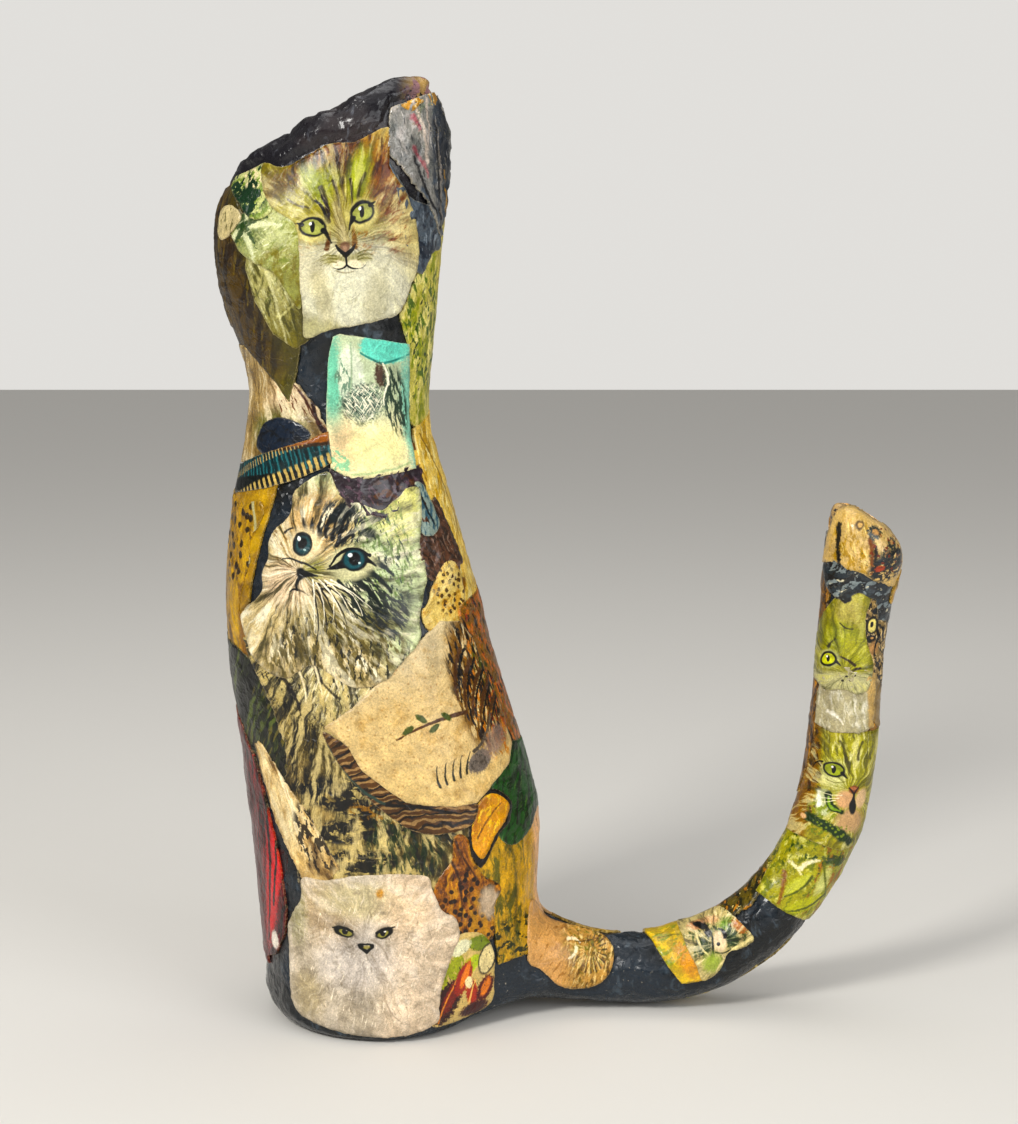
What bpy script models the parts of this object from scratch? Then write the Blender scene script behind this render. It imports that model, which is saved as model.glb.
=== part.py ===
"""A seated papier-mache cat with a long neck, pricked ears and a tail that sweeps out along the
table and rises to a blunt tip. The body and tail are one hand-built piece, so they are one solid.

The cat looks along -X, its tail leaves along +X, and +Z is up. The origin is the middle of the
underside of its base. The form is a coarse cage of slices, rounded by a Subdivision Surface.
"""

import math
from typing import NamedTuple

import bmesh
import bpy
from mathutils import Vector

# Driving dimensions, in metres.
HEIGHT = 0.325
BASE_WIDTH = 0.077
BODY_DEPTH = 0.080
TAIL_THICKNESS = 0.0245

# The slices below are drawn in millimetres on a cat of this height, width, depth and tail.
MM = 0.001
DRAWN_HEIGHT = 325.0
DRAWN_BASE_WIDTH = 77.0
DRAWN_DEPTH = 80.0
DRAWN_TAIL = 24.5

BODY_POINTS = 12
TAIL_POINTS = 8
ROUNDING_LEVELS = 2
SOLE_FLAT = 0.84


class Slice(NamedTuple):
    """One cut through the cat, from a point on its front line to a point on its back line."""

    name: str
    front: tuple
    back: tuple
    half_depth: float
    widest: float


class Link(NamedTuple):
    """One cut through the tail: its middle as (x, z), its radius and how far the cut leans."""

    middle: tuple
    radius: float
    lean: float


BODY = (
    Slice("sole", (-36.0, 0.0), (35.0, 0.0), 41.0, 0.52),
    Slice("foot", (-40.5, 5.5), (39.5, 5.5), 44.0, 0.52),
    Slice("tail_low", (-41.0, 12.0), (42.0, 9.0), 44.0, 0.50),
    Slice("tail_high", (-42.0, 30.0), (53.0, 34.0), 43.0, 0.46),
    Slice("haunch", (-44.5, 60.0), (57.0, 60.0), 42.0, 0.44),
    Slice("belly", (-47.0, 88.0), (54.5, 85.0), 41.0, 0.46),
    Slice("ribs", (-50.5, 117.0), (43.5, 116.0), 39.0, 0.48),
    Slice("chest", (-54.0, 150.0), (34.0, 150.0), 36.5, 0.50),
    Slice("shoulder", (-50.5, 180.0), (25.5, 184.0), 32.5, 0.50),
    Slice("neck", (-43.2, 214.0), (15.6, 210.0), 28.5, 0.52),
    Slice("throat", (-43.4, 231.0), (18.8, 232.0), 29.0, 0.52),
    Slice("jaw", (-53.0, 250.0), (20.5, 255.0), 33.5, 0.50),
    Slice("cheek", (-55.5, 273.0), (23.5, 281.0), 34.5, 0.50),
    Slice("brow", (-53.5, 289.5), (25.5, 306.0), 31.5, 0.56),
    Slice("crown", (-37.0, 303.0), (20.5, 322.0), 25.5, 0.62),
)

TAIL = (
    Link((66.0, 16.5), 13.4, 6.0),
    Link((80.0, 13.6), 12.3, 2.0),
    Link((96.0, 13.2), 13.0, -8.0),
    Link((114.5, 16.8), 13.6, -20.0),
    Link((133.0, 27.0), 12.8, -36.0),
    Link((148.3, 44.3), 12.0, -52.0),
    Link((158.6, 64.5), 12.2, -70.0),
    Link((163.5, 86.0), 12.0, -82.0),
    Link((165.0, 112.0), 11.5, -86.0),
    Link((166.6, 139.0), 11.1, -86.0),
    Link((168.9, 157.0), 12.2, -82.0),
    Link((170.9, 169.6), 14.5, -70.0),
    Link((168.3, 180.2), 10.4, -60.0),
)

# The ears move ring points of the head: (slice name, points from the back, backward, spread, lift).
EARS = (
    ("brow", 1, 0.0, 2.0, 4.0),
    ("brow", 3, 0.0, 0.0, 3.0),
    ("crown", 0, 0.0, 0.0, -8.0),
    ("crown", 1, 4.5, 3.0, 14.6),
    ("crown", 2, -1.0, 1.0, 11.0),
    ("crown", 3, -1.0, 0.0, 8.0),
    ("crown", 4, 0.0, 0.0, 5.5),
    ("crown", 5, 0.0, 0.0, 3.0),
)
CROWN_HOLLOW = -1.5

PAPER_COLOUR = (0.34, 0.30, 0.12, 1.0)
PAPER_ROUGHNESS = 0.45


def clear_scene():
    """Removes the objects that a new file holds."""
    for thing in list(bpy.data.objects):
        bpy.data.objects.remove(thing)


def swell(points):
    """How much a ring of this many cage points is enlarged, so that its rounded form keeps its size."""
    return 6.0 / (4.0 + 2.0 * math.cos(2.0 * math.pi / points))


def to_metres(x, y, z):
    """A point of the drawn cat, in millimetres, as metres on the cat of the driving dimensions."""
    across = BASE_WIDTH / DRAWN_BASE_WIDTH
    deep = BODY_DEPTH / DRAWN_DEPTH
    up = HEIGHT / DRAWN_HEIGHT
    return Vector((x * across, y * deep, z * up))


def body_ring(cut, shrink=1.0):
    """The cage points of one slice, from its back line round by the far side, as metres."""
    front = Vector((cut.front[0], 0.0, cut.front[1]))
    back = Vector((cut.back[0], 0.0, cut.back[1]))
    middle = front.lerp(back, cut.widest)
    grow = swell(BODY_POINTS) * shrink
    ring = []
    for k in range(BODY_POINTS):
        turn = 2.0 * math.pi * k / BODY_POINTS
        along, side = math.cos(turn), math.sin(turn)
        reach = (back - middle) if along > 0.0 else (middle - front)
        point = middle + reach * (along * grow) + Vector((0.0, cut.half_depth * side * grow, 0.0))
        if shrink == 1.0:
            point += ear_lift(cut.name, k)
        ring.append(to_metres(*point))
    return ring


def ear_lift(name, k):
    """How far the ears move ring point k of the named slice, in millimetres."""
    from_back = min(k, BODY_POINTS - k)
    side = 1.0 if k <= BODY_POINTS // 2 else -1.0
    for slice_name, points, backward, spread, lift in EARS:
        if name == slice_name and from_back == points:
            return Vector((backward, side * spread, lift))
    return Vector((0.0, 0.0, 0.0))


def tail_ring(link):
    """The cage points of one tail link, in the order of the hole that the tail grows from."""
    grow = swell(TAIL_POINTS) * link.radius * TAIL_THICKNESS / (DRAWN_TAIL * MM)
    lean = math.radians(link.lean)
    up = Vector((math.sin(lean), 0.0, math.cos(lean)))
    side = Vector((0.0, 1.0, 0.0))
    middle = Vector((link.middle[0], 0.0, link.middle[1]))
    ring = []
    for k in range(TAIL_POINTS):
        turn = 2.0 * math.pi * k / TAIL_POINTS
        point = middle + (up * math.cos(turn) + side * math.sin(turn)) * grow
        ring.append(to_metres(*point))
    return ring


def add_ring(mesh, points):
    """Adds a ring's points to the cage and gives its vertices."""
    return [mesh.verts.new(point) for point in points]


def join_rings(mesh, lower, upper, skip=()):
    """Adds the band of quads between two rings, without those whose index is in skip."""
    count = len(lower)
    for k in range(count):
        if k not in skip:
            n = (k + 1) % count
            mesh.faces.new((lower[k], lower[n], upper[n], upper[k]))


def grow_body(mesh):
    """Adds the body's cage and gives its rings by the names of their slices."""
    rings = {cut.name: add_ring(mesh, body_ring(cut)) for cut in BODY}
    order = [cut.name for cut in BODY]
    beside_back = (0, BODY_POINTS - 1)
    open_bands = (("foot", "tail_low"), ("tail_low", "tail_high"))
    for low, high in zip(order, order[1:]):
        skip = beside_back if (low, high) in open_bands else ()
        join_rings(mesh, rings[low], rings[high], skip)

    sole = add_ring(mesh, body_ring(BODY[0], SOLE_FLAT))
    join_rings(mesh, sole, rings["sole"])
    mesh.faces.new(list(reversed(sole)))

    crown = add_ring(mesh, body_ring(BODY[-1], 0.5))
    join_rings(mesh, rings["crown"], crown)
    hollow = Vector((0.0, 0.0, CROWN_HOLLOW * MM))
    for vertex in crown:
        vertex.co += hollow
    mesh.faces.new(crown)
    return rings


def tail_root(rings):
    """The eight vertices round the opening in the body's cage, from the top round by the far side."""
    high, middle, low = rings["tail_high"], rings["tail_low"], rings["foot"]
    return [high[0], high[1], middle[1], low[1], low[0], low[-1], middle[-1], high[-1]]


def grow_tail(mesh, root):
    """Adds the tail's cage, from the opening in the body to its closed tip."""
    last = root
    for link in TAIL:
        ring = add_ring(mesh, tail_ring(link))
        join_rings(mesh, ring, last)
        last = ring
    mesh.faces.new(list(reversed(last)))


def paper_material():
    """The varnished printed paper that covers the whole cat."""
    material = bpy.data.materials.new("decoupage_paper")
    material.use_nodes = True
    shader = material.node_tree.nodes["Principled BSDF"]
    shader.inputs["Base Color"].default_value = PAPER_COLOUR
    shader.inputs["Roughness"].default_value = PAPER_ROUGHNESS
    return material


def make_cat(collection):
    """Makes the cat's cage, gives it its rounding and its paper, and links it."""
    mesh = bmesh.new()
    rings = grow_body(mesh)
    grow_tail(mesh, tail_root(rings))
    unused = [vertex for vertex in mesh.verts if not vertex.link_faces]
    bmesh.ops.delete(mesh, geom=unused, context="VERTS")
    bmesh.ops.recalc_face_normals(mesh, faces=mesh.faces)
    data = bpy.data.meshes.new("papier_mache_cat")
    mesh.to_mesh(data)
    mesh.free()
    data.shade_smooth()
    data.materials.append(paper_material())
    cat = bpy.data.objects.new("papier_mache_cat", data)
    collection.objects.link(cat)
    rounding = cat.modifiers.new("rounding", "SUBSURF")
    rounding.levels = ROUNDING_LEVELS
    rounding.render_levels = ROUNDING_LEVELS
    return cat


def main():
    """Builds the cat in a collection of its own."""
    clear_scene()
    collection = bpy.data.collections.new("papier_mache_cat")
    bpy.context.scene.collection.children.link(collection)
    make_cat(collection)


main()
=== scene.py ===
"""The looks of a papier-mache cat: a crumpled paper skin, printed cut-outs glued over it, and varnish."""

import logging
import math
import random
import zlib
from collections.abc import Callable
from dataclasses import dataclass, field, fields
from enum import Enum

import bmesh
import bpy
import numpy as np
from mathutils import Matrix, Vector
from mathutils.bvhtree import BVHTree
from mathutils.geometry import delaunay_2d_cdt


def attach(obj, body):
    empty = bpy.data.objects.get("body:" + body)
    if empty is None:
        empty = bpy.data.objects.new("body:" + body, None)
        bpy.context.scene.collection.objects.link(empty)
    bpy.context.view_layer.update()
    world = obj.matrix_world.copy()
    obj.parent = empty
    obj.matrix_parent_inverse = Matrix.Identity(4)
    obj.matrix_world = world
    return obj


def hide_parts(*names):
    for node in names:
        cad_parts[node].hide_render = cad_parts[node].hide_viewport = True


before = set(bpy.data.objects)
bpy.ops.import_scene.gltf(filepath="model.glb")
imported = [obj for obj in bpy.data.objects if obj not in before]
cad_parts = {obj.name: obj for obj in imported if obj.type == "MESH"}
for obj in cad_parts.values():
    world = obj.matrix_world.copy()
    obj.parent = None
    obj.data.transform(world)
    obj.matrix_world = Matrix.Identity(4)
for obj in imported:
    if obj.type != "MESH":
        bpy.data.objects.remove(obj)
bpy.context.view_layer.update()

MM = 0.001
NODE = "papier_mache_cat"
ROOT = "root"
LOG = logging.getLogger("papier_mache_cat")

Point = tuple[float, float]
Ink = str
Colour = tuple[float, float, float, float]
Socket = bpy.types.NodeSocket
Node = bpy.types.Node
Tree = bpy.types.NodeTree


def ramp(value: np.ndarray, low: float, high: float) -> np.ndarray:
    """Rises smoothly from 0 at low to 1 at high.

    Args:
        value: The numbers to weigh.
        low: Where the rise starts.
        high: Where the rise ends.

    Returns:
        One weight for each number.
    """
    share = np.clip((value - low) / (high - low), 0.0, 1.0)
    return share * share * (3.0 - 2.0 * share)


def ink(code: Ink) -> Colour:
    """Mixes a printing ink.

    Args:
        code: Red, green and blue as two hex digits each, as they look on paper.

    Returns:
        The ink as linear red, green, blue and full cover.
    """
    shades = [int(code[k : k + 2], 16) / 255.0 for k in (0, 2, 4)]
    linear = [s / 12.92 if s <= 0.04045 else ((s + 0.055) / 1.055) ** 2.4 for s in shades]
    return (*linear, 1.0)


class Bench:
    """A node tree that is being wired up."""

    NUMBERS = ("LENGTH", "DOT_PRODUCT", "DISTANCE")
    MIDDLE = (0.5, 0.5, 0.5)

    def __init__(self, tree: bpy.types.NodeTree) -> None:
        """Keeps the tree that the nodes go into."""
        self.tree = tree

    def plug(self, socket: Socket, value: object) -> None:
        """Links a socket or sets its plain value.

        Args:
            socket: The input to feed.
            value: An output socket, or a number, vector, colour, object or material; None leaves it.
        """
        if value is None:
            return
        if isinstance(value, bpy.types.NodeSocket):
            self.tree.links.new(value, socket)
        else:
            socket.default_value = value

    def add(self, kind: str, *plugs: object, named: dict | None = None, **options: object) -> Node:
        """Adds a node.

        Args:
            kind: The node's type.
            plugs: What feeds its inputs, in their order.
            named: What feeds inputs that are given by name.
            options: Settings of the node itself.

        Returns:
            The new node.
        """
        node = self.tree.nodes.new(kind)
        for option, value in options.items():
            setattr(node, option, value)
        for index, value in enumerate(plugs):
            self.plug(node.inputs[index], value)
        for name, value in (named or {}).items():
            self.plug(node.inputs[name], value)
        return node

    def math(self, operation: str, *plugs: object, clamp: bool = False) -> Socket:
        """Adds a Math node and gives its result."""
        return self.add("ShaderNodeMath", *plugs, operation=operation, use_clamp=clamp).outputs[0]

    def times(self, *plugs: object, clamp: bool = False) -> Socket:
        """Multiplies two numbers, and adds a third where there is one."""
        return self.math("MULTIPLY_ADD" if len(plugs) > 2 else "MULTIPLY", *plugs, clamp=clamp)

    def vector(self, operation: str, *plugs: object) -> Socket:
        """Adds a Vector Math node and gives its vector, or its number for a length or a dot product."""
        node = self.add("ShaderNodeVectorMath", *plugs, operation=operation)
        return node.outputs["Value" if operation in self.NUMBERS else "Vector"]

    def scaled(self, vector: object, share: object) -> Socket:
        """Scales a vector by a number."""
        node = self.add("ShaderNodeVectorMath", vector, named={"Scale": share}, operation="SCALE")
        return node.outputs[0]

    def rise(self, value: object, low: object, high: object, *ends: object) -> Socket:
        """Adds a smooth step from 0 to 1, or between two ends, as value goes from low to high."""
        plugs = (value, low, high, *(ends or (0.0, 1.0)))
        return self.add("ShaderNodeMapRange", *plugs, interpolation_type="SMOOTHSTEP").outputs[0]

    def mix(self, share: object, under: object, over: object, blend: str = "MIX") -> Socket:
        """Adds a colour Mix node and gives its result."""
        plugs = (share, None, None, None, None, None, under, over)
        return self.add("ShaderNodeMix", *plugs, data_type="RGBA", blend_type=blend).outputs[2]

    def noise(self, place: object, scale: float, detail: float = 2.0, rough: float = 0.5) -> Node:
        """Adds a Noise Texture node on a place and gives the node."""
        named = {"Vector": place, "Scale": scale, "Detail": detail, "Roughness": rough}
        return self.add("ShaderNodeTexNoise", named=named)

    def facets(self, place: object, scale: float) -> Socket:
        """Adds flat facets that meet in sharp creases, as crushed paper has, and gives their height.

        Args:
            place: The place, in millimetres.
            scale: How many facets there are to a millimetre.

        Returns:
            The height of the facets, from 0 in their middles.
        """
        named = {"Vector": place, "Scale": scale}
        node = self.add("ShaderNodeTexVoronoi", named=named, distance="CHEBYCHEV", voronoi_dimensions="3D")
        return node.outputs["Distance"]


class Shelf:
    """Starts node groups, whose sockets are typed by what they are called."""

    KINDS = {
        "Color": ("Under", "Ink", "Light", "Dark", "Colour"),
        "Vector": ("Place", "At", "Size", "Root", "Start", "Run", "Side", "Scale"),
        "Geometry": ("Geometry",),
        "Object": ("Chart",),
        "Material": ("Material",),
    }

    @classmethod
    def group(cls, name: str, takes: str, gives: str, family: str = "ShaderNodeTree") -> tuple:
        """Starts a node group.

        Args:
            name: The group's name.
            takes: The names of its inputs.
            gives: The names of its outputs.
            family: The type of the tree.

        Returns:
            Its bench, its inputs' sockets, and a function that feeds an output by name.
        """
        tree = bpy.data.node_groups.new(name, family)
        for way, labels in (("INPUT", takes), ("OUTPUT", gives)):
            for label in labels.split():
                kind = next((kind for kind, names in cls.KINDS.items() if label in names), "Float")
                tree.interface.new_socket(label, in_out=way, socket_type=f"NodeSocket{kind}")
        bench = Bench(tree)
        entry = bench.add("NodeGroupInput")
        leave = tree.nodes.new("NodeGroupOutput")

        def give(label: str, value: Socket) -> None:
            """Feeds one output of the group."""
            bench.plug(leave.inputs[label], value)

        return bench, entry.outputs, give


class MarkGroup(Enum):
    """The printing marks that have a node group of their own."""

    OVAL = "ink_oval"
    LINE = "ink_line"
    FUR = "ink_fur"
    STRIPES = "ink_stripes"
    SPOTS = "ink_spots"
    BLOTCH = "ink_blotch"
    WASH = "ink_wash"
    VARNISH = "aged_varnish"


class Groups:
    """Builds the shader node groups, each once, when a paper first asks for it."""

    built: dict[MarkGroup, Tree] = {}
    INKED = "Under Ink Place Strength "
    PLACED = INKED + "At Turn "
    SPREAD = PLACED + "Size "
    HAIR_LEVEL = 0.575
    SOFT_EDGE = (0.8, 1.1)
    YELLOWED, WORN, WORN_RIM, DIRT = "dcc78e", "d6c9a8", "d8ccb0", "2a2416"

    @classmethod
    def get(cls, kind: MarkGroup) -> Tree:
        """Gives a node group, built if it isn't there yet.

        Args:
            kind: The mark that it prints.

        Returns:
            The group's tree.
        """
        if kind not in cls.built:
            cls.built[kind] = getattr(cls, kind.value)()
        return cls.built[kind]

    @staticmethod
    def start(kind: MarkGroup, takes: str) -> tuple:
        """Starts a group that prints, and gives the place measured from the mark's turned middle.

        Args:
            kind: The mark that it prints.
            takes: The names of its inputs.

        Returns:
            The group's bench, its inputs, what feeds its outputs, and the place.
        """
        bench, of, give = Shelf.group(kind.value, takes, "Colour")
        plugs = (of["Place"], of["At"], None, of["Turn"])
        turned = bench.add("ShaderNodeVectorRotate", *plugs, rotation_type="Z_AXIS").outputs[0]
        return bench, of, give, bench.vector("SUBTRACT", turned, of["At"])

    @staticmethod
    def reach(bench: Bench, local: Socket, size: Socket) -> Socket:
        """How far out a place lies in an oval of the given half sizes, 1 at its edge."""
        return bench.vector("LENGTH", bench.vector("DIVIDE", local, size))

    @classmethod
    def spread(cls, bench: Bench, of: object, give: Callable, local: Socket, mask: Socket) -> Tree:
        """Lays a group's ink where its mask and a soft oval allow, and gives the tree.

        Args:
            bench: The group's bench.
            of: Its inputs.
            give: What feeds its outputs.
            local: The place from the mark's middle.
            mask: Where ink goes, from 0 to 1.

        Returns:
            The group's tree.
        """
        oval = bench.rise(cls.reach(bench, local, of["Size"]), *cls.SOFT_EDGE, 1.0, 0.0)
        inside = bench.times(oval, of["Strength"])
        return cls.lay(bench, of, give, bench.times(mask, inside))

    @staticmethod
    def lay(bench: Bench, of: object, give: Callable, share: Socket) -> Tree:
        """Lays a share of a group's ink over what is printed, and gives the tree."""
        give("Colour", bench.mix(share, of["Under"], of["Ink"]))
        return bench.tree

    @classmethod
    def ink_oval(cls) -> Tree:
        """An oval of ink with a soft or ragged edge.

        Returns:
            The group's tree.
        """
        bench, of, give, local = cls.start(MarkGroup.OVAL, cls.SPREAD + "Soft Ragged Grain")
        ragged = bench.times(of["Grain"], of["Ragged"], cls.reach(bench, local, of["Size"]))
        inner = bench.math("SUBTRACT", 1.0, of["Soft"])
        outer = bench.math("ADD", 1.0, of["Soft"])
        return cls.lay(bench, of, give, bench.rise(ragged, inner, outer, of["Strength"], 0.0))

    @classmethod
    def ink_line(cls) -> Tree:
        """A bent, tapering line of ink.

        Returns:
            The group's tree.
        """
        takes = cls.INKED + "Start Run Side Inverse Width Taper Soft Ragged Grain"
        bench, of, give = Shelf.group("ink_line", takes, "Colour")
        local = bench.vector("SUBTRACT", of["Place"], of["Start"])
        share = bench.times(bench.vector("DOT_PRODUCT", local, of["Run"]), of["Inverse"], clamp=True)
        bow = bench.math("SUBTRACT", share, bench.times(share, share))
        along = bench.scaled(of["Run"], share)
        aside = bench.scaled(of["Side"], bow)
        away = bench.vector("DISTANCE", local, bench.vector("ADD", along, aside))
        width = bench.times(share, of["Taper"], of["Width"])
        edge = bench.math("SUBTRACT", away, width)
        ragged = bench.times(of["Grain"], of["Ragged"], edge)
        inner = bench.times(of["Soft"], -1.0)
        return cls.lay(bench, of, give, bench.rise(ragged, inner, of["Soft"], of["Strength"], 0.0))

    @classmethod
    def ink_fur(cls) -> Tree:
        """Light and dark hairs in clumps, which run in bent lines away from a root.

        Returns:
            The group's tree.
        """
        takes = "Under Light Dark Place Strength Root Fine Length Waver"
        bench, of, give = Shelf.group("ink_fur", takes, "Colour Grain")
        cloud = bench.vector("SUBTRACT", bench.noise(of["Place"], 0.13, 1.0).outputs[1], bench.MIDDLE)
        bent = bench.vector("ADD", of["Place"], bench.scaled(cloud, of["Waver"]))
        local = bench.vector("MULTIPLY", bench.vector("SUBTRACT", bent, of["Root"]), (1.0, 1.0, 0.0))
        reach = bench.vector("LENGTH", local)
        aim = bench.scaled(bench.vector("NORMALIZE", local), of["Fine"])
        lift = bench.add("ShaderNodeCombineXYZ", None, None, bench.math("DIVIDE", reach, of["Length"]))
        course = bench.vector("ADD", aim, lift.outputs[0])
        hairs = bench.noise(course, 1.0, 3.0, 0.66).outputs[0]
        clumps = bench.noise(course, 0.37, 1.0, 0.5).outputs[0]
        level = bench.times(clumps, 0.55, bench.times(hairs, 0.6))
        dark = bench.rise(level, cls.HAIR_LEVEL, 0.43, 0.0, of["Strength"])
        light = bench.rise(level, cls.HAIR_LEVEL, 0.7, 0.0, of["Strength"])
        shaded = bench.mix(dark, of["Under"], of["Dark"])
        give("Colour", bench.mix(light, shaded, of["Light"]))
        give("Grain", bench.math("SUBTRACT", level, cls.HAIR_LEVEL))
        return bench.tree

    @classmethod
    def ink_stripes(cls) -> Tree:
        """Wavering bands of ink inside a soft oval.

        Returns:
            The group's tree.
        """
        takes = cls.SPREAD + "Pace Bend Wobble Level Grain Ragged"
        bench, of, give, local = cls.start(MarkGroup.STRIPES, takes)
        parts = bench.add("ShaderNodeSeparateXYZ", local).outputs
        square = bench.times(parts[0], parts[0])
        bent = bench.times(square, of["Bend"], parts[1])
        waver = bench.noise(local, 0.16, 1.0).outputs[0]
        moved = bench.times(waver, of["Wobble"], bent)
        wave = bench.math("SINE", bench.times(moved, of["Pace"]))
        rough = bench.times(of["Grain"], of["Ragged"], wave)
        band = bench.rise(rough, of["Level"], bench.math("ADD", of["Level"], 0.5))
        return cls.spread(bench, of, give, local, band)

    @classmethod
    def ink_spots(cls) -> Tree:
        """Scattered spots of ink inside a soft oval.

        Returns:
            The group's tree.
        """
        bench, of, give, local = cls.start(MarkGroup.SPOTS, cls.SPREAD + "Near Radius Grain Ragged")
        named = {"Vector": local, "Scale": of["Near"], "Randomness": 0.85}
        cells = bench.add("ShaderNodeTexVoronoi", named=named, voronoi_dimensions="2D")
        rough = bench.times(of["Grain"], of["Ragged"], cells.outputs["Distance"])
        outer = bench.math("ADD", of["Radius"], 0.1)
        return cls.spread(bench, of, give, local, bench.rise(rough, of["Radius"], outer, 1.0, 0.0))

    @classmethod
    def ink_blotch(cls) -> Tree:
        """Cloudy patches of ink inside a soft oval.

        Returns:
            The group's tree.
        """
        bench, of, give, local = cls.start(MarkGroup.BLOTCH, cls.SPREAD + "Scale Level Soft")
        cloud = bench.noise(bench.vector("DIVIDE", local, of["Scale"]), 1.0, 3.0, 0.6).outputs[0]
        high = bench.math("ADD", of["Level"], of["Soft"])
        return cls.spread(bench, of, give, local, bench.rise(cloud, of["Level"], high))

    @classmethod
    def ink_wash(cls) -> Tree:
        """Ink over everything on one side of a line.

        Returns:
            The group's tree.
        """
        bench, of, give, local = cls.start(MarkGroup.WASH, cls.PLACED + "Soft Ragged Grain")
        height = bench.add("ShaderNodeSeparateXYZ", local).outputs[1]
        rough = bench.times(of["Grain"], of["Ragged"], height)
        low = bench.times(of["Soft"], -1.0)
        return cls.lay(bench, of, give, bench.rise(rough, low, of["Soft"], 0.0, of["Strength"]))

    @classmethod
    def aged_varnish(cls) -> Tree:
        """Yellowed varnish, creases with painted shade in their valleys, paper grain, thin dark vein lines
        and worn edges over a print.

        Returns:
            The group's tree.
        """
        bench, of, give = Shelf.group("aged_varnish", "Under Edge Age Crease", "Colour Roughness Height")
        place = bench.add("ShaderNodeTexCoord").outputs["Object"]
        spot = bench.scaled(place, 1.0 / MM)
        broad = bench.noise(spot, 0.06, 3.0, 0.6)
        grain = bench.noise(spot, 1.6, 3.0, 0.7).outputs[0]
        bent = bench.vector("ADD", spot, bench.scaled(broad.outputs[1], 22.0))
        rumple = bench.noise(bent, 0.09, 3.0, 0.6).outputs[0]
        ridge = bench.math("ABSOLUTE", bench.math("SUBTRACT", rumple, 0.5))
        soft = bench.rise(ridge, 0.0, 0.07, 1.0, 0.0)
        sharp = bench.rise(ridge, 0.0, 0.012, 1.0, 0.0)
        creased = bench.times(sharp, bench.rise(broad.outputs[0], 0.5, 0.62, 0.0, of["Crease"]))
        tint = bench.mix(bench.times(broad.outputs[0], of["Age"]), ink("ffffff"), ink(cls.YELLOWED))
        aged = bench.mix(1.0, of["Under"], tint, "MULTIPLY")
        crush = bench.facets(bent, 0.16)
        # Darker where the facets' creases sink: painted shade in the crease valleys, mixed into random
        # broad tone and the paper grain.
        tone_and_crease_shade = bench.times(broad.outputs[0], 0.5, bench.times(crush, -0.4, 0.88))
        grain_and_crease_shade = bench.times(bench.times(grain, 1.1, 0.45), tone_and_crease_shade)
        plain = bench.add("ShaderNodeCombineColor", grain_and_crease_shade, grain_and_crease_shade, grain_and_crease_shade).outputs[0]
        grained_and_shaded = bench.mix(1.0, aged, plain, "MULTIPLY")
        worn = bench.mix(bench.times(creased, 0.4), grained_and_shaded, ink(cls.WORN))
        rim = bench.times(bench.rise(of["Edge"], 0.05, 0.4, 1.0, 0.0), bench.rise(grain, 0.35, 0.65))
        edged = bench.mix(bench.times(rim, 0.45), worn, ink(cls.WORN_RIM))
        # Thin dark lines along a second vein pattern, laid where the broad noise is high.
        veins = bench.noise(bent, 0.22, 2.0, 0.6).outputs[0]
        vein_gap = bench.math("ABSOLUTE", bench.math("SUBTRACT", veins, 0.47))
        line = bench.times(bench.rise(vein_gap, 0.0, 0.016, 1.0, 0.0), bench.rise(grain, 0.42, 0.6, 0.0, 0.45))
        lined = bench.mix(bench.times(line, bench.rise(broad.outputs[0], 0.4, 0.6)), edged, ink(cls.DIRT))
        deep = bench.add("ShaderNodeGamma", lined, 1.42).outputs[0]
        named = {"Saturation": 1.12, "Value": 1.12, "Color": deep}
        give("Colour", bench.add("ShaderNodeHueSaturation", named=named).outputs[0])
        give("Roughness", bench.times(broad.outputs[0], 0.4, 0.16))
        folds = bench.times(soft, 0.25, bench.times(creased, 0.3))
        folds = bench.times(crush, -1.1, folds)
        high = bench.times(folds, bench.times(of["Crease"], 0.8, 0.2))
        give("Height", bench.times(grain, 0.08, high))
        return bench.tree


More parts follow.
